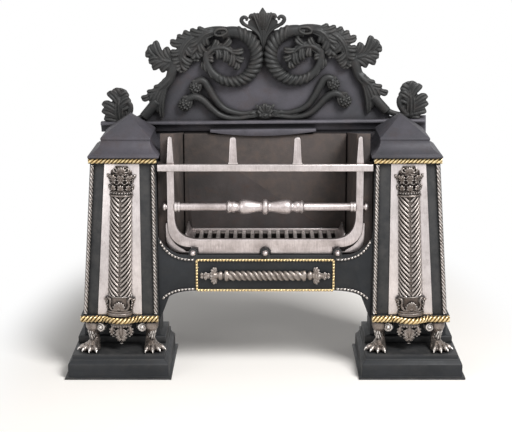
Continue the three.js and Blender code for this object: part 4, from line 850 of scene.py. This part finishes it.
def buildPaw():
    body = [sweep("leg", [(x, z, -y) for x, y, z, r in paw["leg"]], [r for x, y, z, r in paw["leg"]], fineSection,
                  steps=3)]
    for degrees in paw["toeAngles"]:
        toe = turn(degrees, "Y") @ move(0, 7.4, 24.5) @ stretch(paw["toe"][0], paw["toe"][2], paw["toe"][1])
        body.append(twin(bead, toe))
        knuckle = turn(degrees, "Y") @ move(0, 13.4, 17.5) @ stretch(6.6, 7, 7.4)
        body.append(twin(bead, knuckle))
    body.append(twin(bead, move(0, 12, 4) @ stretch(17.5, 11, 16)))
    foot = joined("foot", body)
    useModifier(foot, "REMESH", mode="VOXEL", voxel_size=paw["voxel"])
    useModifier(foot, "SMOOTH", factor=0.6, iterations=3)
    parts = [foot]
    for degrees in paw["toeAngles"]:
        claw = sweep("claw", [(0, 9, 35), (0, 8.4, 39.4), (0, 4.6, 42.4), (0, 1.4, 42.6)], [2.6, 2.4, 1.6, 0.3],
                     roundSection, steps=3)
        claw.data.transform(turn(degrees, "Y"))
        parts.append(claw)
    for degrees, high, low, reach in paw["locks"]:
        lock = placeLobe((0, high, 0), (0, low, 0), 4.6, 5.6)
        slope = math.degrees(math.atan2(4.2, high - low))
        lock.data.transform(turn(degrees, "Y") @ move(0, 0, reach - 2.6) @ turn(-slope, "X"))
        for point in lock.data.vertices:  # locks follow the leg as it narrows
            share = (high - point.co.y) / (high - low)
            point.co.z -= 3.5 * share**2
            point.co.x += 2.2 * math.sin(3.1 * share)
        parts.append(lock)
    x, z, r = paw["volute"]
    spiral = []
    for i in range(16):
        angle, radius = math.radians(90 + 40 * i), (r - 3.2) * (1 - i / 19)
        spiral.append((x + radius * math.cos(angle), z + radius * math.sin(angle), 7 + 0.25 * i))
    parts.append(sweep("volute", spiral, [3.1 - 0.09 * i for i in range(16)], roundSection, steps=4))
    drum = turned("drum", rounded([(-9, 0), (-9, r - 4), (-7, r - 1.6), (5, r - 1.6), (7, r - 4), (7.4, 0)], 2), 24)
    drum.data.transform(move(x, z, 0) @ turn(90, "Y"))
    parts.append(drum)
    parts.append(twin(bead, move(x, z, 10) @ stretch(4.4, 4.4, 4)))
    return joined("paw", parts)


rightPaw = buildPaw()
for where, x, splay, flip in (("outer", 416.1, 22, Matrix()), ("inner", 276.9, -22, mirrored)):
    place = small @ move(x, -67, 58.2) @ turn(splay, "Z") @ flip @ upright
    finishBoth(twin(rightPaw), where + "_lion_paw", place, "silvered", where + "_paw", angle=60)
discard(rightPaw)
print("paws")

# apron, beads and staff
nuts = {"x": 172.5, "height": 300.5, "front": -77.3, "bore": 12, "lug": 10.5, "lugFoot": 281}
apron = {
    "front": -77, "thickness": 12, "half": 163, "side": 255.7, "low": 207.5, "top": 295,
    "shelf": (-163, 163, -66, -37.3, 284, 295), "proud": 0.5,
}
span = apron["side"] - apron["half"]
outline = bothHalves([
    (apron["half"], apron["low"]),
    (apron["half"] + 0.53 * span, apron["low"] - 1, apron["half"] + 0.73 * span, apron["low"] - 14.9),
    (apron["side"] - 1.8, 131.8),
    (apron["side"], 150),
    (apron["side"], apron["top"] + 43),
    (apron["half"] + 0.79 * span, apron["top"] + 11.2, apron["half"] + 0.45 * span, apron["top"]),
    (apron["half"], apron["top"]),
])
front = flatPiece("apronFront", [outline], apron["thickness"], 0.9)
parts = [front]
for x in (-nuts["x"], 0, nuts["x"]):
    r, y = nuts["lug"], nuts["height"]
    arch = [(x + r * math.cos(math.pi * i / 14), y + r * math.sin(math.pi * i / 14)) for i in range(15)]
    foot = [(x - r, nuts["lugFoot"]), (x + r, nuts["lugFoot"])]
    parts.append(flatPiece("lug", [foot + arch], apron["thickness"] + apron["proud"], 0.9))
apronBack = apron["front"] + apron["thickness"]
shelf = addBlock("shelf", *apron["shelf"])
shelf.data.transform(upright.inverted() @ move(y=-apronBack))
piece = joined("apron", parts + [shelf])
finishPiece(piece, "apron_casting", small @ move(y=apronBack) @ upright, "blackIron", "apron_plate")

onApron = small @ move(y=apron["front"] - 0.2) @ upright
beads = {
    "silver": (3.564, 2.904, 2.64), "silverPitch": 8, "gilt": (3.3, 3.3, 2.64), "giltPitch": 7.6, "level": 2.4,
    "fillet": 2.1, "upper": ((170, 284.5), (230, 282), (250.5, 330)),
    "lower": ((170, 211.8), (226, 213), (246.5, 187)),
}
for name in ("upper", "lower"):
    run = bendLine(*beads[name], 40)
    fillet = sweep("fillet", [(x, y, 0.4) for x, y in run[::8]], beads["fillet"], roundSection)
    fillet.data.transform(stretch(1, 1, 0.5))
    row = beadRow([(x, y, beads["level"]) for x, y in run], beads["silver"], beads["silverPitch"])
    finishBoth(joined("row", row + [fillet]), name + "_bead_row", onApron, "ropeSilver", name + "_beads", angle=60)

panel = {"x": 163.5, "low": 208.8, "high": 283.4, "strip": 2.6}
w, low, high = panel["x"], panel["low"], panel["high"]
corners = [(-w, low), (w, low), (w, high), (-w, high)]
parts = []
for start, end in zip(corners, corners[1:] + corners[:1]):
    parts += beadRow([(*start, beads["level"]), (*end, beads["level"])], beads["gilt"], beads["giltPitch"])
    strip = sweep("strip", [(*start, 0), (*end, 0)], panel["strip"], roundSection, steps=1, crisp=True)
    strip.data.transform(stretch(1, 1, 0.5))
    parts.append(strip)
finishPiece(joined("panel", parts), "panel_beading", onApron, "gilt", "panel_frame", angle=60)

staff = {
    "height": 246, "twistEnd": 90, "radius": 12.6, "twist": 40, "depth": 0.72,
    "turning": [(88, 9), (89.5, 12.4), (93, 13.2), (96.5, 12.4), (98, 8), (100, 6.5), (103, 9.6), (107, 11),
                (111, 9.6), (114, 6.2), (119, 6.6), (123, 8)],
    "crown": [(124, 21, 6), (129, 15.5, 7), (132, 8, 8), (133, 0, 9), (132, -8, 8), (129, -15.5, 7), (124, -21, 6)],
    "crownBack": [(119, 20, 3), (119, -20, 3), (126, 18, 4), (126, -18, 4)],
    "flame": [(126, 0, 5), (136, 0, 9), (145, 0, 8), (153, 0, 4)],
}
twistRod = sweep("twistRod", [(-staff["twistEnd"], 0, 7), (staff["twistEnd"], 0, 7)], staff["radius"], ropeSection,
                 twists=2 * staff["twistEnd"] / staff["twist"], steps=90)
parts = [twistRod]
turning = rounded(staff["turning"], 3)
half = [turned("staffEnd", [(turning[0][0], 0)] + turning + [(turning[-1][0], 0)], 20)]
half[0].data.transform(move(z=7))
half.append(fan("crownLeaves", (115, 0, 5), staff["crown"], 3.3, 5))
half.append(fan("crownBack", (114, 0, 3), staff["crownBack"], 3, 4))
half.append(leafAlong("flame", staff["flame"], 19, 3, 4.6))
half.append(twin(bead, move(121.5, 0, 10) @ stretch(4, 5.4, 3.6)))
right = joined("staffRight", half)
piece = joined("staff", [twistRod, right, twin(right, mirrored)])
piece.data.transform(stretch(1, 1, staff["depth"]))
castTogether(piece, 0.8, 1)
finishPiece(piece, "staff_carving", onApron @ move(y=staff["height"]), "silvered", "staff_ornament", angle=60)
print("apron, beads and staff")

# fire basket
basket = {
    "front": -68, "thickness": 13, "half": 232.5, "bar": 17, "low": 312, "skirt": 16, "bottomBar": 20,
    "topBar": 515.5, "outer": 60, "inner": 58, "shoulder": 577, "tip": 580, "tipHalf": 4.5,
}
half, inner, low, bore = basket["half"], basket["half"] - basket["bar"], basket["low"], nuts["bore"]
foot, upper, middle = low - basket["skirt"], low + basket["bottomBar"], basket["half"] - basket["bar"] / 2
skirt = nuts["x"] - bore + 0.1
arch = [(bore * math.sin(math.pi * i / 16), nuts["height"] + bore * math.cos(math.pi * i / 16)) for i in range(8)]
outline = bothHalves(arch + [
    (bore, foot), (skirt, foot), (skirt, low), (half - basket["outer"], low),
    (half, low, half, low + basket["outer"]), (half, basket["topBar"]),
    (middle + basket["tipHalf"], basket["shoulder"]), (middle, basket["tip"]),
    (middle - basket["tipHalf"], basket["shoulder"]), (inner, basket["topBar"]), (inner, upper + basket["inner"]),
    (inner, upper, inner - basket["inner"], upper), (0, upper),
], 14)
piece = flatPiece("basketFrame", [outline], basket["thickness"], 1.9)
bores = []
for x in (-nuts["x"], nuts["x"]):
    clearPick()
    bpy.ops.mesh.primitive_cylinder_add(vertices=32, radius=bore, depth=60, location=(x, nuts["height"], 5))
    bores.append(bpy.context.object)
cutter = joined("cutter", bores)
editAll(piece)
bpy.ops.mesh.remove_doubles(threshold=0.01)
leaveEdit()
useModifier(piece, "BOOLEAN", operation="DIFFERENCE", object=cutter, solver="EXACT")
discard(cutter)
onBasket = small @ move(y=basket["front"] + basket["thickness"]) @ upright
finishPiece(piece, "basket_bars", onBasket, "steel", "basket_frame", angle=35)

basketExtras = {
    "topBar": (-254, 254, -80.3, -68.3, 499, 515.5), "knobX": 232.5,
    "knob": [(0.3, 0), (0.3, 5.4), (1.6, 6), (3, 6.4), (4.2, 8.8), (6.6, 9.4), (9, 8.8), (11.4, 6), (12.6, 3),
             (13, 0)],
    "nut": [(0, 0), (0, 6.8), (1.6, 7), (3.4, 6.2), (5.6, 6), (7.8, 4.6), (9.4, 2.4), (10, 0)],
    "spike": [(11.5, 515.8), (11.5, 519.6), (10, 519.8), (7, 575), (5, 578.6), (0, 580)],
    "spikePlace": (75.6, -70.3, 0), "spikeDepth": 9,
}
piece = addBlock("topBar", *basketExtras["topBar"])
softEdges(piece, 1.8, 3)
finishPiece(piece, "basket_top_bar", small, "steel", "top_bar")

piece = flatPiece("spike", [bothHalves(basketExtras["spike"])], basketExtras["spikeDepth"], 1.3)
finishBoth(piece, "pointed_spike", small @ move(*basketExtras["spikePlace"]) @ upright, "steel", "spike")

bar = {
    "height": 410, "depth": -61.5, "tenon": (232.4, 4),
    "turned": [(0, 18.6), (3, 18.2), (6, 15.6), (8, 12.4), (10, 11.4), (14, 11.6), (22, 13), (32, 15), (42, 17),
               (51, 17.6), (57, 16.4), (61.5, 13), (64, 10.8), (67, 10.6), (70, 12), (74, 13.6), (78, 13.4),
               (81, 12.6), (83.4, 13.6), (86.6, 15.6), (89, 14.6), (91.6, 11), (93, 9.6), (95, 9.2), (202.6, 9.2),
               (202.8, 12), (207.6, 12), (208, 11), (209, 11), (209.4, 12), (215.1, 12)],
}
profile, end = bar["turned"], bar["turned"][-1][0]
whole = [(-end, 0)] + [(-x, r) for x, r in reversed(profile)] + profile[1:] + [(end, 0)]
reach, r = bar["tenon"]
tenon = [(-reach, 0), (-reach, r), (reach, r), (reach, 0)]
piece = joined("bar", [turned("bar", whole, 36), turned("tenon", tenon, 16)])
finishPiece(piece, "turned_bar", small @ move(0, bar["depth"], bar["height"]), "steel", "middle_bar", angle=50)

piece = turned("knob", rounded(basketExtras["knob"], 2))
onBar = small @ move(basketExtras["knobX"], bar["depth"], bar["height"])
finishBoth(piece, "bar_end_knob", onBar, "steel", "end_knob", angle=50)

nutPiece = turned("nut", rounded(basketExtras["nut"], 2), 24)
nutPiece.data.transform(turn(-90, "Z"))
onNut = move(0, nuts["front"], nuts["height"])
finishBoth(twin(nutPiece), "domed_nut", small @ move(nuts["x"]) @ onNut, "steel", "nut", angle=50)
finishPiece(nutPiece, "middle_domed_nut", small @ onNut, "steel", "middle_nut", angle=50)

crescent = {"depth": -48.9, "thickness": 6, "outer": 237.4, "low": 295.3, "horn": 368, "hornWidth": 3.8}
outer, horn = crescent["outer"], crescent["horn"]
outline = bothHalves([
    (200.5, crescent["low"]), (outer, crescent["low"] + 2, outer, horn - 32), (outer, horn),
    (outer - crescent["hornWidth"], horn), (outer - 6.5, horn - 18), (outer - 11.5, horn - 50, 195, 303.5),
    (190, 298.5), (179, 298.5), (176.5, 323.3),
], 14)
piece = flatPiece("crescent", [outline], crescent["thickness"], 1.2)
finishPiece(piece, "crescent_plate", small @ move(y=crescent["depth"]) @ upright, "steel", "mount_plate", angle=35)

grate = {
    "half": 178.5, "bars": 18, "bar": 8.6, "y": (-43.4, 80.7), "z": (295.3, 320.3), "rail": 9, "railDepth": 8,
    "backRise": 4.5, "wing": [(173, 311), (174, 312), (189, 314, 192.4, 340.2), (189.2, 340.3),
                              (186.4, 321, 173, 320)],
}
front, back, low, high = *grate["y"], *grate["z"]
spacing = 2 * grate["half"] / (grate["bars"] - 1)
rod = addBlock("rod", -grate["bar"] / 2, grate["bar"] / 2, front, back, low, high)
softEdges(rod, 1.2)
bars = [twin(rod, move(x=i * spacing - grate["half"])) for i in range(grate["bars"])]
discard(rod)
finishPiece(joined("grate", bars), "fire_grate_bars", small, "grateSteel", "bottom_grate", body="grate", angle=35)
reach, rails = grate["half"] + grate["rail"] / 2, []
for y, rise in ((front, 0), (back - grate["rail"], grate["backRise"])):
    rail = addBlock("rail", -reach, reach, y, y + grate["rail"], high - grate["railDepth"], high + rise)
    softEdges(rail, 1.6, 3)
    rails.append(rail)
wing = bothHalves(grate["wing"], 8)
side = flatPiece("wing", [wing[: len(wing) // 2]], back - front, 0.6)
side.data.transform(move(y=back) @ upright)
piece = joined("rails", rails + [side, twin(side, mirrored)])
finishPiece(piece, "fire_grate_rails", small, "steel", "bottom_grate", body="grate", angle=35)
print("fire basket")

# back, cornice and linings
plateShape = bothHalves([
    (398, -300), (398, 0), (310, 0), (300, 12), (262, 44), (226, 104), (212, 150), (200, 205, 118, 220),
    (60, 229, 12, 214),
], 14)
piece = flatPiece("back", [plateShape], 12, 1.1)
crestPlace = small @ move(0, 116.7, 592) @ turn(-1.35, "Y") @ upright
finishPiece(piece, "back_casting", crestPlace @ move(z=-12.3), "plateIron", "back_plate", angle=35)

lining = {"level": 556, "rise": 25, "foot": (177, 219, -48.3, -44.4, 286, 323)}
for node, soft, finish in (("cornice", 0.8, "plateIron"), ("fireback", 1.5, "burntIron"),
                           ("left_cheek", 0.8, "burntIron"), ("right_cheek", 0.8, "burntIron")):
    piece = copyOfNode(node, soft)
    if node.endswith("cheek"):
        front, back = min(v.co.y for v in piece.data.vertices), max(v.co.y for v in piece.data.vertices)
        for point in piece.data.vertices:
            if point.co.z > lining["level"] / 1000:
                point.co.z += lining["rise"] / 1000 * (back - point.co.y) / (back - front)
        foot = addBlock("foot", *lining["foot"])
        softEdges(foot, 0.6)
        foot.data.transform(small if node.startswith("right") else mirrored @ small)
        piece = joined(node, [piece, foot])
    finishPiece(piece, node + "_casting", Matrix(), finish, node, angle=35)
print("back, cornice and linings")

# the crest: x outwards from the middle, y above the cornice, z out from the back plate
scroll = {
    "centre": (76, 158), "outer": 74.2, "tube": 15.4, "start": 66, "end": 374, "depth": 0.84, "lift": 11,
    "ribs": (112, 300, 17), "rib": 5.4, "proud": 2.6, "slant": -8.0, "voxel": 1.2,
    "leaf": [(143, 140, 9), (134, 170, 14), (108, 181, 17), (80, 172, 18), (64, 146, 13)],
    "lobes": [(0.1, 122, 152, 8), (0.3, 112, 200, 8), (0.45, 110, 154, 9), (0.55, 80, 201, 8), (0.62, 95, 146, 9),
              (0.75, 50, 173, 7), (0.8, 82, 136, 8), (0.9, 50, 150, 6), (1, 69, 127, 6)],
    "tail": [((141, 160, 12), (140, 122, 10)), ((136, 142, 13), (124, 106, 11)), ((147, 152, 8), (148, 128, 6)),
             ((126, 122, 14), (104, 96, 11))],
}


def aroundScroll(degrees, radius, height=0.0):
    x, y = scroll["centre"]
    return (x + radius * math.cos(math.radians(degrees)), y + radius * math.sin(math.radians(degrees)), height)


def scrollTube(degrees):  # thick at the front of the scroll and thinner towards its two ends
    if degrees < 120:
        return scroll["tube"] * (1 - 0.16 * (120 - degrees) / 60)
    return scroll["tube"] * (1 - 0.46 * max(0, (degrees - 215) / 150) ** 1.1)


steps = 24
angles = [scroll["start"] + (scroll["end"] - scroll["start"]) * i / steps for i in range(steps + 1)]
line = [aroundScroll(a, scroll["outer"] - scrollTube(a), scroll["lift"] / scroll["depth"]) for a in angles]
ring = sweep("ring", line, [scrollTube(a) for a in angles], fineSection, steps=4)
ring.data.transform(stretch(1, 1, scroll["depth"]))
parts = [ring]
first, last, count = scroll["ribs"]
for i in range(count):
    degrees = first + (last - first) * i / (count - 1)
    tube = scrollTube(degrees)
    arc = []
    for step in range(9):
        turnAt = math.pi * (step / 8)
        out = tube - scroll["rib"] + scroll["proud"]
        reach = scroll["outer"] - tube + out * math.cos(turnAt)
        height = scroll["lift"] + scroll["depth"] * out * math.sin(turnAt)
        arc.append(aroundScroll(degrees + scroll["slant"] * math.cos(turnAt), reach, height))
    size = scroll["rib"] * tube / scroll["tube"]
    parts.append(sweep("gadroon", arc, [size * r for r in (1.1, 1.12, 1.1, 1.05, 1, 0.92, 0.85, 0.78, 0.7)],
                       roundSection, steps=2))
parts.append(leaf(scroll["leaf"], scroll["lobes"], 9.6, 9, 12, rib=4))
parts += [placeLobe(root, tip, 6.4, 6, 0.08) for root, tip in scroll["tail"]]
finishBoth(castTogether(joined("scroll", parts), scroll["voxel"]), "gadrooned_scroll", crestPlace, "greyIron",
           "crest_scroll", 80, True)


arm = {
    "stem": [(82, 219, 10), (104, 221, 11), (130, 219, 12), (158, 211, 12.5), (186, 192, 12.5), (207, 168, 12),
             (218, 146, 11.5), (225, 126, 11), (234, 102, 11), (250, 78, 11), (270, 52, 11)],
    "stemSizes": [10.5, 12, 12.6, 11.5, 9.5, 9.5, 10.5, 12, 11.5, 8, 8],
    "sleeve": [(88, 222, 26.4), (100, 227, 27.4), (114, 223, 27), (117, 215, 26), (107, 211, 26.4), (94, 214, 26.4)],
    "rod": {"from": (266, 53), "angle": -49, "length": 51, "radius": 12},
    "foot": [(296, 18, 10), (320, 8, 9), (345, 4, 9), (364, 6, 9)],
    "eye": [(352, 4, 9), (338, 18, 12), (330, 36, 14), (333, 50, 15), (342, 52, 15), (345, 44, 15), (339, 40, 14)],
    "voxel": 1.3, "depth": 0.86,
    # each leaf: its middle rib, then the tips of its lobes, its lobe width and height
    "leaves": [
        ([(118, 220, 22), (138, 216, 26), (155, 201, 25), (164, 180, 20), (165, 160, 12)],
         [(0.12, 158, 228, 10), (0.25, 176, 224, 10), (0.3, 138, 190, 10), (0.45, 186, 190, 11), (0.55, 146, 172, 9),
          (0.65, 184, 172, 10), (0.8, 153, 160, 8), (0.85, 178, 160, 9), (1, 166, 152, 6)], 10.4, 10, 14),
        ([(162, 211, 20), (184, 198, 26), (199, 174, 25), (203, 149, 18), (200, 130, 10)],
         [(0.05, 193, 220, 9), (0.18, 208, 210, 9), (0.3, 225, 198, 8), (0.35, 176, 168, 10), (0.5, 224, 172, 9),
          (0.6, 178, 146, 8), (0.7, 222, 152, 9), (0.8, 186, 132, 7), (0.9, 214, 134, 7),
          (1, 200, 124, 6)], 10.6, 10, 15),
        ([(216, 150, 13), (236, 151, 15), (254, 158, 13), (268, 170, 9), (276, 180, 6)],
         [(0.02, 253, 127, 5), (0.05, 239, 184, 5), (0.2, 273, 134, 5), (0.3, 264, 200, 5), (0.4, 281, 151, 5),
          (0.55, 278, 190, 5), (0.7, 289, 169, 5)], 11, 9, 14),
        ([(226, 116, 18), (243, 96, 22), (262, 80, 19), (282, 67, 13), (296, 60, 8)],
         [(0.02, 247, 100, 8), (0.05, 255, 12, 5), (0.12, 263, 25, 6), (0.22, 269, 86, 7), (0.3, 271, 35, 7),
          (0.45, 287, 75, 6), (0.5, 279, 50, 7), (0.7, 302, 60, 5)], 9.4, 9, 12),
        ([(357, -2, 10), (359, 20, 15), (359, 42, 17), (357, 62, 14), (351, 76, 9)],
         [(0.02, 382, 0, 5), (0.05, 397, 15, 5), (0.15, 401, 34, 5), (0.3, 399, 52, 5), (0.55, 384, 78, 5),
          (0.75, 368, 86, 5), (1, 347, 85, 5), (0.75, 336, 74, 6), (0.5, 332, 60, 7), (0.35, 334, 44, 6)], 11, 9, 21),
    ],
}
stem = sweep("stem", arm["stem"], arm["stemSizes"], fineSection)
sleeve = sweep("sleeve", arm["sleeve"], 2.9, roundSection, closed=True)
eye = sweep("eye", arm["eye"], [6, 7, 6.5, 5.5, 4.4, 3.4, 2.6], roundSection)
foot = sweep("foot", arm["foot"], [8, 7, 7, 7], roundSection)
long, r = arm["rod"]["length"], arm["rod"]["radius"]
rod = turned("rod", rounded([(0, 0), (0, r - 1.4), (1.4, r), (6, r), (long - 6, r), (long - 1.2, r), (long, r - 1.2),
                             (long, 0)], 2), 28)
rod.data.transform(move(*arm["rod"]["from"], 12) @ turn(arm["rod"]["angle"]))
leaves = [leaf(*values) for values in arm["leaves"]]
piece = joined("arm", [stem, sleeve, eye, foot, rod] + leaves)
piece.data.transform(stretch(1, 1, arm["depth"]))
finishBoth(castTogether(piece, arm["voxel"]), "acanthus_arm", crestPlace, "greyIron", "crest_arm", 80, True)

anthemion = {
    "bud": [(0, 224, 10), (0, 242, 14), (0, 261, 14), (0, 275, 8)], "budSizes": [6, 11.5, 10, 1.4],
    "petals": [((3, 226, 9), (14, 262, 8)), ((5, 214, 7), (21, 263, 8))],
    "stem": [(0, 160, 6), (0, 190, 7), (0, 208, 8), (0, 230, 10)],
    "inner": [(1, 168, 6), (2.4, 196, 7), (6, 216, 8), (13, 238, 9), (20, 252, 10), (27, 257, 11), (31, 253, 11),
              (28, 248, 11)],
    "innerSizes": [2, 2.4, 2.8, 4.2, 5.4, 4.8, 3.8, 2.8],
    "outer": [(2, 164, 6), (4.6, 190, 7), (11, 208, 8), (24, 222, 9), (38, 231, 10), (48, 238, 11), (52, 247, 12),
              (46, 253, 12), (39, 250, 12), (40, 244, 12)],
    "outerSizes": [2, 2.6, 3, 3.4, 4.2, 5, 5.2, 4.8, 4, 3],
    "web": [(-3, 190), (3, 190), (14, 216), (36, 232), (36, 242), (24, 252), (12, 256), (0, 258), (-12, 256),
            (-24, 252), (-36, 242), (-36, 232), (-14, 216)],
    "voxel": 0.9,
}
half = [sweep("innerRib", anthemion["inner"], anthemion["innerSizes"], roundSection),
        sweep("outerRib", anthemion["outer"], anthemion["outerSizes"], roundSection)]
half += [placeLobe(root, tip, 5.6, 7) for root, tip in anthemion["petals"]]
right = joined("antheme", half)
web = flatPiece("web", [anthemion["web"]], 7, 1)
web.data.transform(move(z=2))
parts = [sweep("bud", anthemion["bud"], anthemion["budSizes"], flutedSection),
         sweep("middleStem", anthemion["stem"], [3.4, 3.2, 3, 3.4], roundSection)]
piece = castTogether(joined("anthemion", parts + [right, twin(right, mirrored), web]), anthemion["voxel"])
finishPiece(piece, "anthemion_crown", crestPlace, "greyIron", "crest_anthemion", angle=80)

festoon = {
    "upper": [(18, 22, 6), (49, 17, 7), (74, 20, 8), (103, 33, 9), (122, 55, 9), (138, 83, 10), (150, 100, 11),
              (162, 101, 11), (170, 92, 10)],
    "upperSizes": [4.4, 5.6, 7, 8.2, 8.8, 9.2, 9.4, 9, 8],
    "lower": [(18, 12, 6), (42, 8, 7), (74, 5.5, 8), (109, 14, 9), (131, 31, 9), (153, 53, 10), (172, 62, 11),
              (185, 58, 11), (194, 49, 10)],
    "lowerSizes": [4.4, 5.6, 6.6, 7.8, 8.6, 9.2, 9.4, 9, 8],
    "pods": [(170, 85, 13.4), (197, 43, 14.6)], "berry": 3.4, "berries": 44,
    "sheaths": [((156, 103, 10), [(178, 100, 13), (184, 88, 11), (158, 80, 11)]),
                ((178, 64, 10), [(204, 61, 13), (211, 47, 11), (184, 36, 11)])],
    "sprays": [((12, 10, 7), (48, 9, 6)), ((12, 12, 7), (44, 21, 6)), ((8, 22, 8), (23, 38, 7))],
    "petals": [(-18, 27, 9), (-12, 37, 9), (0, 42, 10), (12, 37, 9), (18, 27, 9)],
    "voxel": 1.05,
}
parts = [sweep(key + "Stem", festoon[key], festoon[key + "Sizes"], fineSection) for key in ("upper", "lower")]
for x, y, r in festoon["pods"]:
    for i in range(festoon["berries"]):
        height = 1 - 2 * (i + 0.5) / festoon["berries"]
        ringAt = math.sqrt(1 - height * height)
        angle = i * 2.39996
        spot = (x + r * ringAt * math.cos(angle), y + r * ringAt * math.sin(angle), 10 + 0.8 * r * height)
        parts.append(twin(bead, Matrix.Translation(spot) @ Matrix.Scale(festoon["berry"], 4)))
    parts.append(twin(bead, move(x, y, 10) @ stretch(r, r, r * 0.8)))
parts += [fan("sheath", root, tips, 4.4, 5) for root, tips in festoon["sheaths"]]
parts += [placeLobe(root, tip, 4.2, 5) for root, tip in festoon["sprays"]]
right = joined("festoonRight", parts)
flower = [fan("flower", (0, 12, 8), festoon["petals"], 8, 8), twin(bead, move(0, 11, 8) @ stretch(22, 10.5, 9))]
flower += [twin(bead, move(x, 12, 15) @ stretch(4.6, 4.2, 4)) for x in (-12, 0, 12)]
piece = castTogether(joined("festoon", [right, twin(right, mirrored)] + flower), festoon["voxel"])
finishPiece(piece, "festoon_carving", crestPlace, "greyIron", "crest_festoon", angle=80)
discard(lobe, bead, roundSection, fineSection, ropeSection, lobeSection, flutedSection, halfSection)
print("crest")

# floor, light and camera
studio = {
    "floorSize": 60, "fadeShape": (1, 0.42, 1), "fadeFrom": 0.5, "fadeTo": 0.76, "world": 0.25, "lift": 0.03,
    "paper": (0.97, 0.94, 0.9, 1),
    "key": {"place": (1.9, -2.5, 3.4), "aim": (0, -0.2, 0.2), "size": 1.6, "power": 215},
    "fill": {"place": (-2.6, -2.8, 1.6), "aim": (0, 0, 0.4), "size": 2.6, "power": 30},
}
clearPick()
bpy.ops.mesh.primitive_plane_add(size=studio["floorSize"], location=(0, 0, -0.0004))
floor = bpy.context.object
floor.name = "floor"
bpy.ops.object.transform_apply(location=True, rotation=True, scale=True)
paper = bpy.data.materials.new("paper")
paper.use_nodes = True
tree = paper.node_tree
tree.nodes.clear()
spot = addNode(tree, "TexCoord").outputs["Object"]
shape = addNode(tree, "Mapping", {"Vector": spot, "Scale": studio["fadeShape"]}).outputs[0]
reach = addNode(tree, "VectorMath", {0: shape}, operation="LENGTH").outputs["Value"]
ends = {"Value": reach, "From Min": studio["fadeFrom"], "From Max": studio["fadeTo"]}
fade = addNode(tree, "MapRange", ends, interpolation_type="SMOOTHSTEP").outputs[0]
seen = addNode(tree, "LightPath").outputs["Is Camera Ray"]
lift = addNode(tree, "Math", {0: seen, 1: studio["lift"]}, operation="MULTIPLY").outputs[0]
matt = addNode(tree, "BsdfDiffuse", {"Color": studio["paper"]}).outputs[0]
both = addNode(tree, "AddShader", {0: matt, 1: addNode(tree, "Emission", {"Strength": lift}).outputs[0]}).outputs[0]
glow = addNode(tree, "Emission", {"Strength": 1.0}).outputs[0]
mixed = addNode(tree, "MixShader", {0: fade, 1: both, 2: glow}).outputs[0]
addNode(tree, "OutputMaterial", {0: mixed})
floor.data.materials.append(paper)

world = bpy.data.worlds.new("studio")
bpy.context.scene.world = world
world.use_nodes = True
tree = world.node_tree
rays = addNode(tree, "LightPath").outputs
seen = addNode(tree, "Math", {0: rays["Is Camera Ray"], 1: rays["Is Glossy Ray"]}, operation="MAXIMUM").outputs[0]
through = addNode(tree, "Math", {0: seen, 1: rays["Is Transmission Ray"]}, operation="MAXIMUM").outputs[0]
level = addNode(tree, "MapRange", {"Value": through, "To Min": studio["world"], "To Max": 1.0}).outputs[0]
sky = tree.nodes["Background"]
sky.inputs["Color"].default_value = (1, 1, 1, 1)
tree.links.new(level, sky.inputs["Strength"])


def addSoftbox(name, s):
    bpy.ops.object.light_add(type="AREA", location=s["place"])
    lamp = bpy.context.object
    lamp.name = name
    lamp.data.size = s["size"]
    lamp.data.energy = s["power"]
    lamp.rotation_euler = (Vector(s["aim"]) - Vector(s["place"])).to_track_quat("-Z", "Y").to_euler()


addSoftbox("keyLight", studio["key"])
addSoftbox("fillLight", studio["fill"])

view = {"place": (0, -3.122, 1.097), "down": 13.05, "lens": 92.8, "shift": -0.018}
bpy.ops.object.camera_add(location=view["place"], rotation=(math.radians(90 - view["down"]), 0, 0))
camera = bpy.context.object
camera.data.lens = view["lens"]
camera.data.shift_x = view["shift"]
bpy.context.scene.camera = camera
bpy.context.scene.view_settings.view_transform = "Standard"
